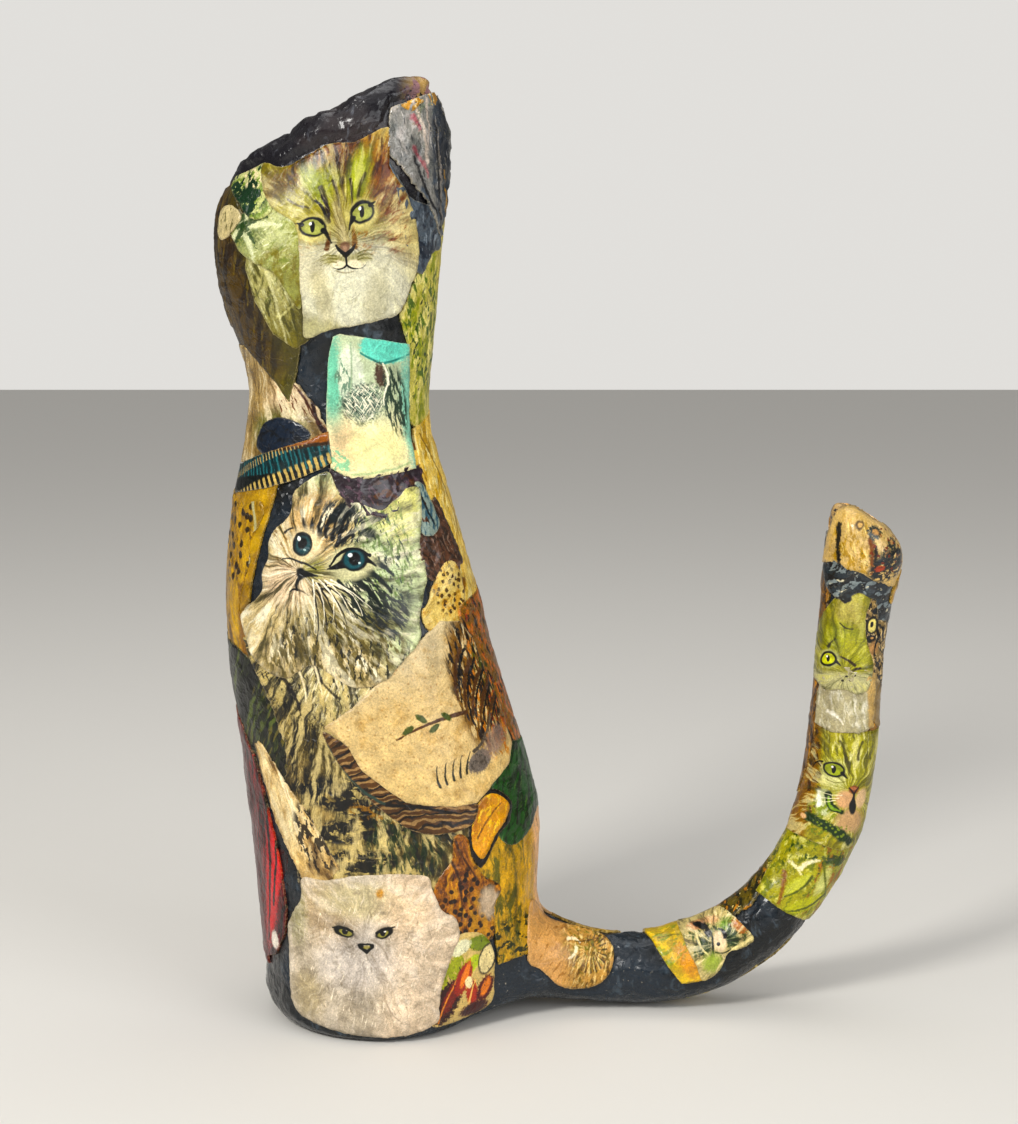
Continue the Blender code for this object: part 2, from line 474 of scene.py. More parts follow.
class Press:
    """Prints marks, one over another, into the material of one paper."""

    WOBBLE = 0.8
    SHINE = 0.3
    GLOSS_BLUR = 0.18

    def __init__(self, name: str, base: Ink) -> None:
        """Starts a material.

        Args:
            name: The material's name.
            base: The ink of the bare paper.
        """
        self.material = bpy.data.materials.new(name)
        self.material.use_nodes = True
        self.bench = Bench(self.material.node_tree)
        self.shader = self.bench.tree.nodes["Principled BSDF"]
        flat = self.bench.add("ShaderNodeUVMap", uv_map="print").outputs[0]
        cloud = self.bench.noise(flat, 0.3, 2.0).outputs[1]
        waver = self.bench.scaled(self.bench.vector("SUBTRACT", cloud, Bench.MIDDLE), self.WOBBLE)
        self.place = self.bench.vector("ADD", flat, waver)
        grain = self.bench.noise(flat, 1.1, 2.0, 0.6).outputs[0]
        self.grain = self.bench.math("SUBTRACT", grain, 0.5)
        self.colour: object = ink(base)

    def mark(self, kind: MarkGroup, **values: object) -> Node:
        """Lays one mark over what is printed so far.

        Args:
            kind: The mark.
            values: What its inputs get, by their names.

        Returns:
            The mark's node.
        """
        tree = Groups.get(kind)
        common = {"Under": self.colour, "Place": self.place, "Grain": self.grain}
        node = self.bench.add("ShaderNodeGroup", node_tree=tree)
        for label, value in (common | values).items():
            if label in node.inputs:
                self.bench.plug(node.inputs[label], ink(value) if isinstance(value, str) else value)
        self.colour = node.outputs["Colour"]
        return node

    def finish(self, gloss: float, age: float, crease: float) -> bpy.types.Material:
        """Varnishes the print.

        Args:
            gloss: The weight of the clear coat.
            age: How yellow the varnish is.
            crease: How strong the creases are.

        Returns:
            The finished material.
        """
        edge = self.bench.add("ShaderNodeAttribute", attribute_name="edge").outputs["Fac"]
        coat = self.mark(MarkGroup.VARNISH, Edge=edge, Age=age, Crease=crease)
        self.bench.plug(self.shader.inputs["Base Color"], self.colour)
        self.bench.plug(self.shader.inputs["Roughness"], coat.outputs["Roughness"])
        named = {"Strength": 1.0, "Distance": MM, "Height": coat.outputs["Height"]}
        relief = self.bench.add("ShaderNodeBump", named=named)
        self.bench.plug(self.shader.inputs["Normal"], relief.outputs[0])
        self.shader.inputs["Specular IOR Level"].default_value = self.SHINE
        self.shader.inputs["Coat Weight"].default_value = gloss
        self.shader.inputs["Coat Roughness"].default_value = self.GLOSS_BLUR
        return self.material


@dataclass(frozen=True)
class Pose:
    """Where a figure stands on its paper: its place in millimetres, its turn in degrees and its size."""

    at: Point = (0.0, 0.0)
    turn: float = 0.0
    size: float = 1.0

    def spot(self, point: Point) -> tuple[float, float, float]:
        """A point of the figure as a place on the paper.

        Args:
            point: The point, from the figure's own zero.

        Returns:
            The place, with no height.
        """
        turn = math.radians(self.turn)
        x, y = point[0] * self.size, point[1] * self.size
        across = x * math.cos(turn) - y * math.sin(turn)
        upward = x * math.sin(turn) + y * math.cos(turn)
        return (self.at[0] + across, self.at[1] + upward, 0.0)

    def back(self, turn: float) -> float:
        """The angle, in radians, that undoes the figure's turn and a mark's own."""
        return -math.radians(self.turn + turn)

    def spread(self, size: Point) -> tuple[float, float, float]:
        """A width and a height of the figure as they are on the paper."""
        return (size[0] * self.size, size[1] * self.size, 1.0)

    def then(self, inner: "Pose") -> "Pose":
        """The pose of a figure that stands on this one."""
        return Pose(self.spot(inner.at)[:2], self.turn + inner.turn, self.size * inner.size)


@dataclass(frozen=True)
class Mark:
    """A mark of ink, whose sizes and inks feed the inputs of the same names in its node group."""

    KIND = MarkGroup.OVAL

    def values(self, pose: Pose) -> dict[str, object]:
        """What the node group's inputs get, by their names, on a figure with the given pose.

        Args:
            pose: The pose of the figure.

        Returns:
            The inputs' values by their names.
        """
        moves = {"at": pose.spot, "root": pose.spot, "turn": pose.back}
        moves |= {"size": pose.spread, "scale": pose.spread}
        values = {item.name: getattr(self, item.name) for item in fields(self)}
        moved = {name: moves[name](value) for name, value in values.items() if name in moves}
        return {name.capitalize(): value for name, value in (values | moved).items()}

    def lay(self, press: Press, pose: Pose) -> None:
        """Prints the mark. The grain of hairs roughens the marks that follow.

        Args:
            press: The press that prints it.
            pose: The pose of the figure that it belongs to.
        """
        made = press.mark(self.KIND, **self.values(pose)).outputs
        if "Grain" in made:
            press.grain = made["Grain"]


@dataclass(frozen=True)
class Oval(Mark):
    """An oval of ink."""

    at: Point
    size: Point
    ink: Ink
    turn: float = 0.0
    soft: float = 0.15
    ragged: float = 0.0
    strength: float = 1.0


@dataclass(frozen=True)
class Line(Mark):
    """A line of ink that may bend and taper."""

    start: Point
    end: Point
    ink: Ink
    width: float = 0.4
    tip: float = 0.1
    bend: float = 0.0
    soft: float = 0.15
    ragged: float = 0.0
    strength: float = 1.0
    KIND = MarkGroup.LINE

    def values(self, pose: Pose) -> dict[str, object]:
        """What the node group's inputs get: the line's run, its bend as a vector and its taper.

        Args:
            pose: The pose of the figure.

        Returns:
            The inputs' values by their names.
        """
        start, end = Vector(pose.spot(self.start)), Vector(pose.spot(self.end))
        run = end - start
        side = Vector((-run.y, run.x, 0.0)).normalized() * (4.0 * self.bend * pose.size)
        width, taper = self.width * pose.size, (self.tip - self.width) * pose.size
        own = {"Start": start, "Run": run, "Side": side, "Inverse": 1.0 / run.length_squared}
        return super().values(pose) | own | {"Width": width, "Taper": taper}


@dataclass(frozen=True)
class Fur(Mark):
    """Hairs over the whole paper, running away from a root."""

    light: Ink
    dark: Ink
    root: Point = (0.0, 0.0)
    fine: float = 9.0
    length: float = 7.0
    strength: float = 0.7
    waver: float = 5.0
    KIND = MarkGroup.FUR


@dataclass(frozen=True)
class Stripes(Mark):
    """Wavering stripes inside an oval."""

    at: Point
    size: Point
    ink: Ink
    gap: float = 4.0
    turn: float = 0.0
    bend: float = 0.0
    wobble: float = 6.0
    level: float = 0.1
    ragged: float = 2.0
    strength: float = 0.9
    KIND = MarkGroup.STRIPES

    def values(self, pose: Pose) -> dict[str, object]:
        """What the node group's inputs get, with the gap as the stripes' pace."""
        return super().values(pose) | {"Pace": 2.0 * math.pi / (self.gap * pose.size)}


@dataclass(frozen=True)
class Spots(Mark):
    """Scattered spots inside an oval."""

    at: Point
    size: Point
    ink: Ink
    gap: float = 3.0
    radius: float = 0.25
    turn: float = 0.0
    ragged: float = 0.5
    strength: float = 0.9
    KIND = MarkGroup.SPOTS

    def values(self, pose: Pose) -> dict[str, object]:
        """What the node group's inputs get, with the gap as how near the spots are."""
        return super().values(pose) | {"Near": 1.0 / (self.gap * pose.size)}


@dataclass(frozen=True)
class Blotch(Mark):
    """Cloudy patches inside an oval. The grain of a cloud may be longer one way than the other."""

    at: Point
    size: Point
    ink: Ink
    scale: Point = (4.0, 4.0)
    level: float = 0.5
    soft: float = 0.08
    turn: float = 0.0
    strength: float = 1.0
    KIND = MarkGroup.BLOTCH


@dataclass(frozen=True)
class Wash(Mark):
    """Ink over one side of a line through a point. At turn 0 it covers what lies above the line."""

    at: Point
    ink: Ink
    turn: float = 0.0
    soft: float = 1.0
    ragged: float = 0.0
    strength: float = 1.0
    KIND = MarkGroup.WASH


@dataclass(frozen=True)
class Eye:
    """A cat's eye: a dark rim, a coloured iris, a pupil and a glint."""

    at: Point
    size: Point
    iris: Ink
    turn: float = 0.0
    pupil: Point = (0.22, 0.75)
    rim: Ink = "0d0c0a"
    rim_width: float = 0.8
    GLINT = "ffffff"

    def lay(self, press: Press, pose: Pose) -> None:
        """Prints the eye. Its pupil and glint stay upright when the eye slants.

        Args:
            press: The press that prints it.
            pose: The pose of the figure that it belongs to.
        """
        wide, high = self.size
        low = min(wide, high)
        outer = (wide + self.rim_width, high + self.rim_width)
        pale = tuple(min(1.0, part * 1.4 + 0.02) for part in ink(self.iris)[:3]) + (1.0,)
        slanted = (
            Oval((0.0, 0.0), outer, self.rim, soft=0.1),
            Oval((0.0, 0.0), (wide, high), self.iris, soft=0.08),
            Oval((wide * 0.1, -high * 0.35), (wide * 0.75, high * 0.5), pale, soft=0.4, strength=0.7),
        )
        upright = (
            Oval((0.0, 0.0), (wide * self.pupil[0], high * self.pupil[1]), self.rim),
            Oval((-low * 0.25, low * 0.4), (low * 0.17, low * 0.2), self.GLINT),
        )
        for turn, marks in ((self.turn, slanted), (0.0, upright)):
            for mark in marks:
                mark.lay(press, pose.then(Pose(self.at, turn)))


@dataclass(frozen=True)
class Kitten:
    """A kitten's face about its nose, upright, in millimetres on a face of size 1."""

    iris: Ink
    mark: Ink
    pale: Ink
    size: float = 1.0
    half_gap: float = 8.5
    eye_rise: float = 11.5
    eye: Point = (3.3, 2.6)
    slant: float = 25.0
    muzzle: float = 4.2
    bars: int = 5
    bar_length: float = 9.0
    whiskers: int = 4
    NOSE = "b07a66"
    LINE = "1c120c"
    WHISKER = "f4efe2"
    SIDES = (-1.0, 1.0)

    def brow(self) -> list[Line]:
        """The dark bars that rise from between and over the eyes.

        Returns:
            The bars.
        """
        made = []
        for side in self.SIDES:
            for bar in range(self.bars):
                share = (bar + 0.35) / self.bars
                foot = (side * self.half_gap * 1.25 * share, self.eye_rise + 4.2 - 2.5 * (1 - share))
                head = (foot[0] * 1.35, foot[1] + self.bar_length * (1.0 - 0.45 * share))
                made.append(Line(foot, head, self.mark, 0.35, 0.9, side * 0.6, 0.25, 1.6, 0.85))
        return made

    def cheeks(self) -> list[Line]:
        """The dark bars that run back from the outer corners of the eyes.

        Returns:
            The bars.
        """
        made = []
        for side in self.SIDES:
            for low in (0.0, 4.0):
                start = (side * (self.half_gap + 3.8), self.eye_rise - 1.5 - low)
                end = (side * (self.half_gap + 10.5), self.eye_rise - 3.0 - low * 1.6)
                made.append(Line(start, end, self.mark, 0.7, 0.3, -side * 0.8, 0.3, 1.6, 0.7))
        return made

    def muzzle_marks(self) -> list[Mark]:
        """The pale bridge of the nose, the muzzle and the chin.

        Returns:
            The marks.
        """
        wide = self.muzzle
        bridge = Line((0.0, 1.5), (0.0, self.eye_rise + 3.0), self.pale, 1.5, 0.8, 0.0, 0.8, 2.0, 0.8)
        pads = [
            Oval((side * wide * 0.7, -2.2), (wide, 2.9), self.pale, 0, 0.35, 1.0) for side in self.SIDES
        ]
        return [bridge, *pads, Oval((0.0, -5.2), (wide * 0.8, 1.8), self.pale, 0, 0.4, 1.0)]

    def eyes(self) -> list[Mark | Eye]:
        """The lines down from the inner corners of the eyes, and the eyes.

        Returns:
            The marks.
        """
        made: list[Mark | Eye] = []
        for side in self.SIDES:
            corner = (side * (self.half_gap - 3.6), self.eye_rise - 2.2)
            foot = (side * 2.2, self.eye_rise * 0.35)
            made.append(Line(corner, foot, self.LINE, 0.45, 0.1, 0.0, 0.35, 1.0, 0.7))
        for side in self.SIDES:
            middle = (side * self.half_gap, self.eye_rise)
            made.append(Eye(middle, self.eye, self.iris, side * self.slant, rim=self.LINE))
        return made

    def mouth(self) -> list[Mark]:
        """The nose, the lips and the whiskers.

        Returns:
            The marks.
        """
        made = [
            Oval((0.0, 0.0), (2.0, 1.2), self.LINE, soft=0.2),
            Oval((0.0, 0.25), (1.55, 0.75), self.NOSE, soft=0.3),
            Line((0.0, -1.0), (0.0, -2.9), self.LINE, 0.28, 0.25),
        ]
        for side in self.SIDES:
            lip = (side * self.muzzle * 0.95, -3.0)
            made.append(Line((0.0, -2.9), lip, self.LINE, 0.28, 0.12, side * -0.75))
            for hair in range(self.whiskers):
                start = (side * 3.2, -1.4 - hair * 0.8)
                end = (side * (self.muzzle + 11.0), 1.0 - hair * 3.2)
                made.append(Line(start, end, self.WHISKER, 0.14, 0.05, side * 0.8, 0.12, 0.0, 0.75))
        return made

    def lay(self, press: Press, pose: Pose) -> None:
        """Prints the face.

        Args:
            press: The press that prints it.
            pose: The pose of the figure that it belongs to.
        """
        own = pose.then(Pose(size=self.size))
        for mark in (*self.brow(), *self.cheeks(), *self.muzzle_marks(), *self.eyes(), *self.mouth()):
            mark.lay(press, own)


@dataclass(frozen=True)
class Print:
    """What is printed on one paper, and how it is varnished."""

    base: Ink
    marks: tuple = ()
    gloss: float = 0.15
    age: float = 0.35
    crease: float = 0.4

    def material(self, name: str) -> bpy.types.Material:
        """Prints and varnishes the paper.

        Args:
            name: The material's name.

        Returns:
            The finished material.
        """
        press = Press(name, self.base)
        for mark in self.marks:
            mark.lay(press, Pose())
        return press.finish(self.gloss, self.age, self.crease)


def bend(knots: tuple[np.ndarray, ...], share: float) -> np.ndarray:
    """The point at a share of the way from the second of four knots to the third, on a smooth curve.

    Args:
        knots: The four knots.
        share: How far along it is, from 0 to 1.

    Returns:
        The point.
    """
    before, start, end, after = knots
    square = (2.0 * before - 5.0 * start + 4.0 * end - after) * share**2
    cube = (3.0 * start - before - 3.0 * end + after) * share**3
    return 0.5 * (2.0 * start + (end - before) * share + square + cube)


def beside(values: np.ndarray, links: np.ndarray) -> np.ndarray:
    """The mean value of the vertices that each vertex is linked to.

    Args:
        values: A number for each vertex.
        links: The pairs of vertices that edges join.

    Returns:
        One mean for each vertex.
    """
    counts = np.maximum(np.bincount(links.ravel(), minlength=len(values)), 1)
    total = np.bincount(links[:, 0], values[links[:, 1]], len(values))
    return (total + np.bincount(links[:, 1], values[links[:, 0]], len(values))) / counts


def store(mesh: bpy.types.Mesh, name: str, values: np.ndarray) -> None:
    """Keeps a number, a pair or a vector for each vertex of a mesh.

    Args:
        mesh: The mesh.
        name: What the attribute is called.
        values: One row for each vertex.
    """
    width = values.size // len(mesh.vertices)
    kind = ("FLOAT", "FLOAT2", "FLOAT_VECTOR")[width - 1]
    data = mesh.attributes.new(name, kind, "POINT").data
    data.foreach_set("value" if width == 1 else "vector", values.astype(np.float32).ravel())


def put(name: str, data: bpy.types.ID) -> bpy.types.Object:
    """Puts a mesh, a camera or a light into the scene as an object of its own.

    Args:
        name: The object's name.
        data: What it shows.

    Returns:
        The object.
    """
    thing = bpy.data.objects.new(name, data)
    bpy.context.scene.collection.objects.link(thing)
    return thing


def freeze(piece: bpy.types.Object, modifier: bpy.types.Modifier) -> None:
    """Makes what a modifier does to a piece its plain mesh, and takes the modifier away.

    Args:
        piece: The piece.
        modifier: Its modifier.
    """
    graph = bpy.context.evaluated_depsgraph_get()
    mesh = bpy.data.meshes.new_from_object(piece.evaluated_get(graph))
    piece.modifiers.remove(modifier)
    piece.data = mesh


@dataclass
class Chart:
    """A map of part of the cat: s millimetres round from its facing side, t millimetres up or along."""

    name: str
    facing: float = 1.0
    low: float = 2.0
    high: float = 312.0
    top: float = math.inf
    row_gap: float = 1.3
    columns: int = 300
    sweep: float = math.radians(225.0)
    reach: float = 150.0
    probe: float = 2.0
    places: np.ndarray = field(default=None, repr=False)
    across: np.ndarray = field(default=None, repr=False)
    rounds: np.ndarray = field(default=None, repr=False)
    levels: np.ndarray = field(default=None, repr=False)
    sheet: bpy.types.Object = field(default=None, repr=False)

    def ray(self, level: float, turn: float) -> tuple[Vector, Vector]:
        """The line, in millimetres, that leaves the middle of a row at a turn from the facing side."""
        raise NotImplementedError

    def survey(self, skin: BVHTree) -> "Chart":
        """Finds the skin at every row and column, and the distance round each row.

        Args:
            skin: The skin to find, in metres.

        Returns:
            The chart itself, with its sheet made.
        """
        count = int(round((self.high - self.low) / self.row_gap)) + 1
        self.levels = np.linspace(self.low, self.high, count)
        turns = np.linspace(-self.sweep, self.sweep, self.columns + 1)
        self.places = np.zeros((count, self.columns + 1, 3))
        for row, level in enumerate(self.levels):
            for column, turn in enumerate(turns):
                start, direction = self.ray(level, turn)
                found = skin.ray_cast(start * MM, direction)[0]
                self.places[row, column] = found if found else start * MM
        steps = np.linalg.norm(np.diff(self.places, axis=1), axis=2) / MM
        along = np.concatenate([np.zeros((count, 1)), np.cumsum(steps, axis=1)], axis=1)
        middle = self.columns // 2
        self.rounds = along - along[:, middle : middle + 1]
        across = np.cross(np.gradient(self.places, axis=1), np.gradient(self.places, axis=0))
        self.across = across / np.maximum(np.linalg.norm(across, axis=2, keepdims=True), 1e-12)
        self.sheet = self.make_sheet()
        return self

    def to_share(self, points: np.ndarray) -> np.ndarray:
        """Points of the chart in millimetres as shares of its reach, from 0 to 1.

        Args:
            points: The points.

        Returns:
            One pair of shares for each point.
        """
        s = (points[:, 0] + self.reach) / (2.0 * self.reach)
        t = (points[:, 1] - self.low) / (self.high - self.low)
        return np.stack([s, t], axis=1)

    def find(self, points: np.ndarray) -> np.ndarray:
        """The places on the skin, in metres, of points of the chart in millimetres.

        Args:
            points: The points.

        Returns:
            One place for each point.
        """
        share = np.clip(self.to_share(points)[:, 1], 0.0, 1.0) * (len(self.levels) - 1)
        lower = np.minimum(share.astype(int), len(self.levels) - 2)
        rest = (share - lower)[:, None]
        found = np.zeros((len(points), 3))
        for row in np.unique(lower):
            chosen = lower == row
            s = points[chosen, 0]
            ends = []
            for level in (row, row + 1):
                ends.append([np.interp(s, self.rounds[level], self.places[level, :, k]) for k in range(3)])
            near, far = (np.array(end).T for end in ends)
            found[chosen] = near + (far - near) * rest[chosen]
        return found

    def flatten(self, points: np.ndarray, middle: Point, turn: float) -> np.ndarray:
        """Points of the chart as an upright print about a middle point, in millimetres.

        Args:
            points: The points in the chart.
            middle: The chart point where the print's zero lies.
            turn: How far the print is turned, in degrees.

        Returns:
            The points in the print.
        """
        near = np.array([(1.0, 0.0), (-1.0, 0.0), (0.0, 1.0), (0.0, -1.0)]) * self.probe
        probes = self.find(np.array(middle) + near) / MM
        round_way = (probes[0] - probes[1]) / (2.0 * self.probe)
        up_way = (probes[2] - probes[3]) / (2.0 * self.probe)
        outward = np.cross(round_way, up_way)
        outward /= np.linalg.norm(outward)
        right = np.cross((0.0, 0.0, 1.0), outward)
        right /= np.linalg.norm(right)
        upward = np.cross(outward, right)
        way = np.array([[round_way @ right, round_way @ upward], [up_way @ right, up_way @ upward]])
        flat = (points - np.array(middle)) @ way
        cosine, sine = math.cos(math.radians(turn)), math.sin(math.radians(turn))
        return flat @ np.array([[cosine, -sine], [sine, cosine]])

    def make_sheet(self) -> bpy.types.Object:
        """Makes the chart as a mesh that paper can be draped over.

        Returns:
            The mesh object, with its flat coordinates and its outward directions as attributes.
        """
        rows, columns = self.places.shape[:2]
        index = np.arange(rows * columns).reshape(rows, columns)
        faces = np.stack([index[:-1, :-1], index[:-1, 1:], index[1:, 1:], index[1:, :-1]], axis=-1)
        mesh = bpy.data.meshes.new(self.name)
        mesh.from_pydata(self.places.reshape(-1, 3), [], faces.reshape(-1, 4).tolist())
        levels = np.repeat(self.levels[:, None], columns, axis=1)
        flat = self.to_share(np.stack([self.rounds.ravel(), levels.ravel()], axis=1))
        store(mesh, "flat", flat)
        store(mesh, "across", self.across)
        return put(self.name, mesh)


@dataclass
class BodyChart(Chart):
    """The body and head. Its rows are level on the body and lean back with the crown."""

    top: float = 308.0
    axis: tuple = ((0.0, -1.0), (60.0, 4.0), (117.0, -3.0), (150.0, -10.0), (215.0, -14.0), (312.0, -12.0))
    lean_from: float = 236.0
    most_lean: float = math.radians(23.0)

    def ray(self, level: float, turn: float) -> tuple[Vector, Vector]:
        """The line that leaves the body's middle at a turn from its facing side.

        Args:
            level: The level of the row.
            turn: The turn from the facing side, in radians.

        Returns:
            Where the line starts and the way that it goes.
        """
        heights, middles = zip(*self.axis)
        middle = float(np.interp(level, heights, middles))
        lean = self.most_lean * float(ramp(np.array(level), self.lean_from, self.high))
        back = math.sin(turn) * self.facing
        side = -math.cos(turn) * self.facing
        return Vector((middle, 0.0, level)), Vector((back * math.cos(lean), side, back * math.sin(lean)))


@dataclass
class TailChart(Chart):
    """The tail. Its rows are square to its middle line and fan out over the blunt tip."""

    line: tuple = (
        (50.0, 17.5),
        (66.0, 16.5),
        (80.0, 13.6),
        (96.0, 13.2),
        (114.5, 16.8),
        (133.0, 27.0),
        (148.3, 44.3),
        (158.6, 64.5),
        (163.5, 86.0),
        (165.0, 112.0),
        (167.3, 140.0),
        (170.3, 158.0),
        (171.0, 172.0),
    )
    low: float = -16.0
    high: float = 230.0
    columns: int = 240
    reach: float = 75.0
    start_knot: int = 1
    steps: int = 24
    fan_from: float = 211.0
    fan_lean: float = math.radians(84.0)
    curve: tuple = field(default=None, repr=False)

    def smooth_line(self) -> tuple[np.ndarray, np.ndarray]:
        """The middle line as many points, with the distance of each past the first knot on the tail.

        Returns:
            The points and their distances, in millimetres.
        """
        knots = np.array([self.line[0], *self.line, self.line[-1]])
        shares = np.linspace(0.0, 1.0, self.steps, endpoint=False)
        points = []
        for four in zip(knots, knots[1:], knots[2:], knots[3:]):
            points.extend(bend(four, share) for share in shares)
        line = np.array([*points, knots[-1]])
        gaps = np.linalg.norm(np.diff(line, axis=0), axis=1)
        distances = np.concatenate([[0.0], np.cumsum(gaps)])
        return line, distances - distances[self.start_knot * self.steps]

    def ray(self, level: float, turn: float) -> tuple[Vector, Vector]:
        """The line that leaves the tail's middle, square to it, at a turn from its facing side.

        Args:
            level: The level of the row.
            turn: The turn from the facing side, in radians.

        Returns:
            Where the line starts and the way that it goes.
        """
        if self.curve is None:
            self.curve = self.smooth_line()
        points, distances = self.curve
        reached = min(level, self.fan_from)
        lean = self.fan_lean * max(0.0, level - self.fan_from) / (self.high - self.fan_from)
        spots = []
        for distance in (reached - self.probe, reached, reached + self.probe):
            spots.append([float(np.interp(distance, distances, points[:, k])) for k in (0, 1)])
        behind, middle, ahead = spots
        forward = Vector((ahead[0] - behind[0], 0.0, ahead[1] - behind[1])).normalized()
        side = Vector((forward.z, 0.0, -forward.x)) * self.facing
        square = side * math.sin(turn) + Vector((0.0, -self.facing, 0.0)) * math.cos(turn)
        return Vector((middle[0], 0.0, middle[1])), square * math.cos(lean) + forward * math.sin(lean)


class Side(Enum):
    """The sides of the cat that papers are glued to: the kind of their chart and the way it faces."""

    NEAR_BODY = (BodyChart, 1.0)
    FAR_BODY = (BodyChart, -1.0)
    NEAR_TAIL = (TailChart, 1.0)
    FAR_TAIL = (TailChart, -1.0)

    def chart(self) -> Chart:
        """The side's chart, not yet surveyed."""
        kind, facing = self.value
        return kind(self.name.lower(), facing)


class PaperStack:
    """How high the papers lie over each small cell of the skin, in millimetres."""

    CELL = 1.0
    THICKNESS = 0.28
    SMOOTHINGS = 6
    NEAR = [(i, j, k) for i in (-1, 0, 1) for j in (-1, 0, 1) for k in (-1, 0, 1)]

    def __init__(self) -> None:
        """Starts with no paper."""
        self.heights: dict[tuple, float] = {}

    def cells(self, places: np.ndarray) -> list[tuple]:
        """The cell of each place, given in metres."""
        return [tuple(cell) for cell in np.rint(places / (MM * self.CELL)).astype(int).tolist()]

    def height(self, cell: tuple) -> float:
        """The highest paper in a cell or beside it, or 0 where there is none."""
        i, j, k = cell
        return max(self.heights.get((i + a, j + b, k + c), 0.0) for a, b, c in self.NEAR)

    def lay(self, places: np.ndarray, links: np.ndarray) -> np.ndarray:
        """Lays a paper over those that are there.

        Args:
            places: The paper's vertices on the skin, in metres.
            links: The pairs of vertices that its edges join.

        Returns:
            The lift of each vertex, in millimetres.
        """
        cells = self.cells(places)
        least = np.array([self.height(cell) for cell in cells]) + self.THICKNESS
        lift = least
        for _ in range(self.SMOOTHINGS):
            lift = np.maximum(least, beside(lift, links))
        for cell, height in zip(cells, lift.tolist()):
            self.heights[cell] = max(self.heights.get(cell, 0.0), height)
        return lift


class Drape(Enum):
    """The geometry trees of the skin and the papers."""

    RELIEF = "relief"
    CRUMPLE = "crumple"
    LAY = "lay"


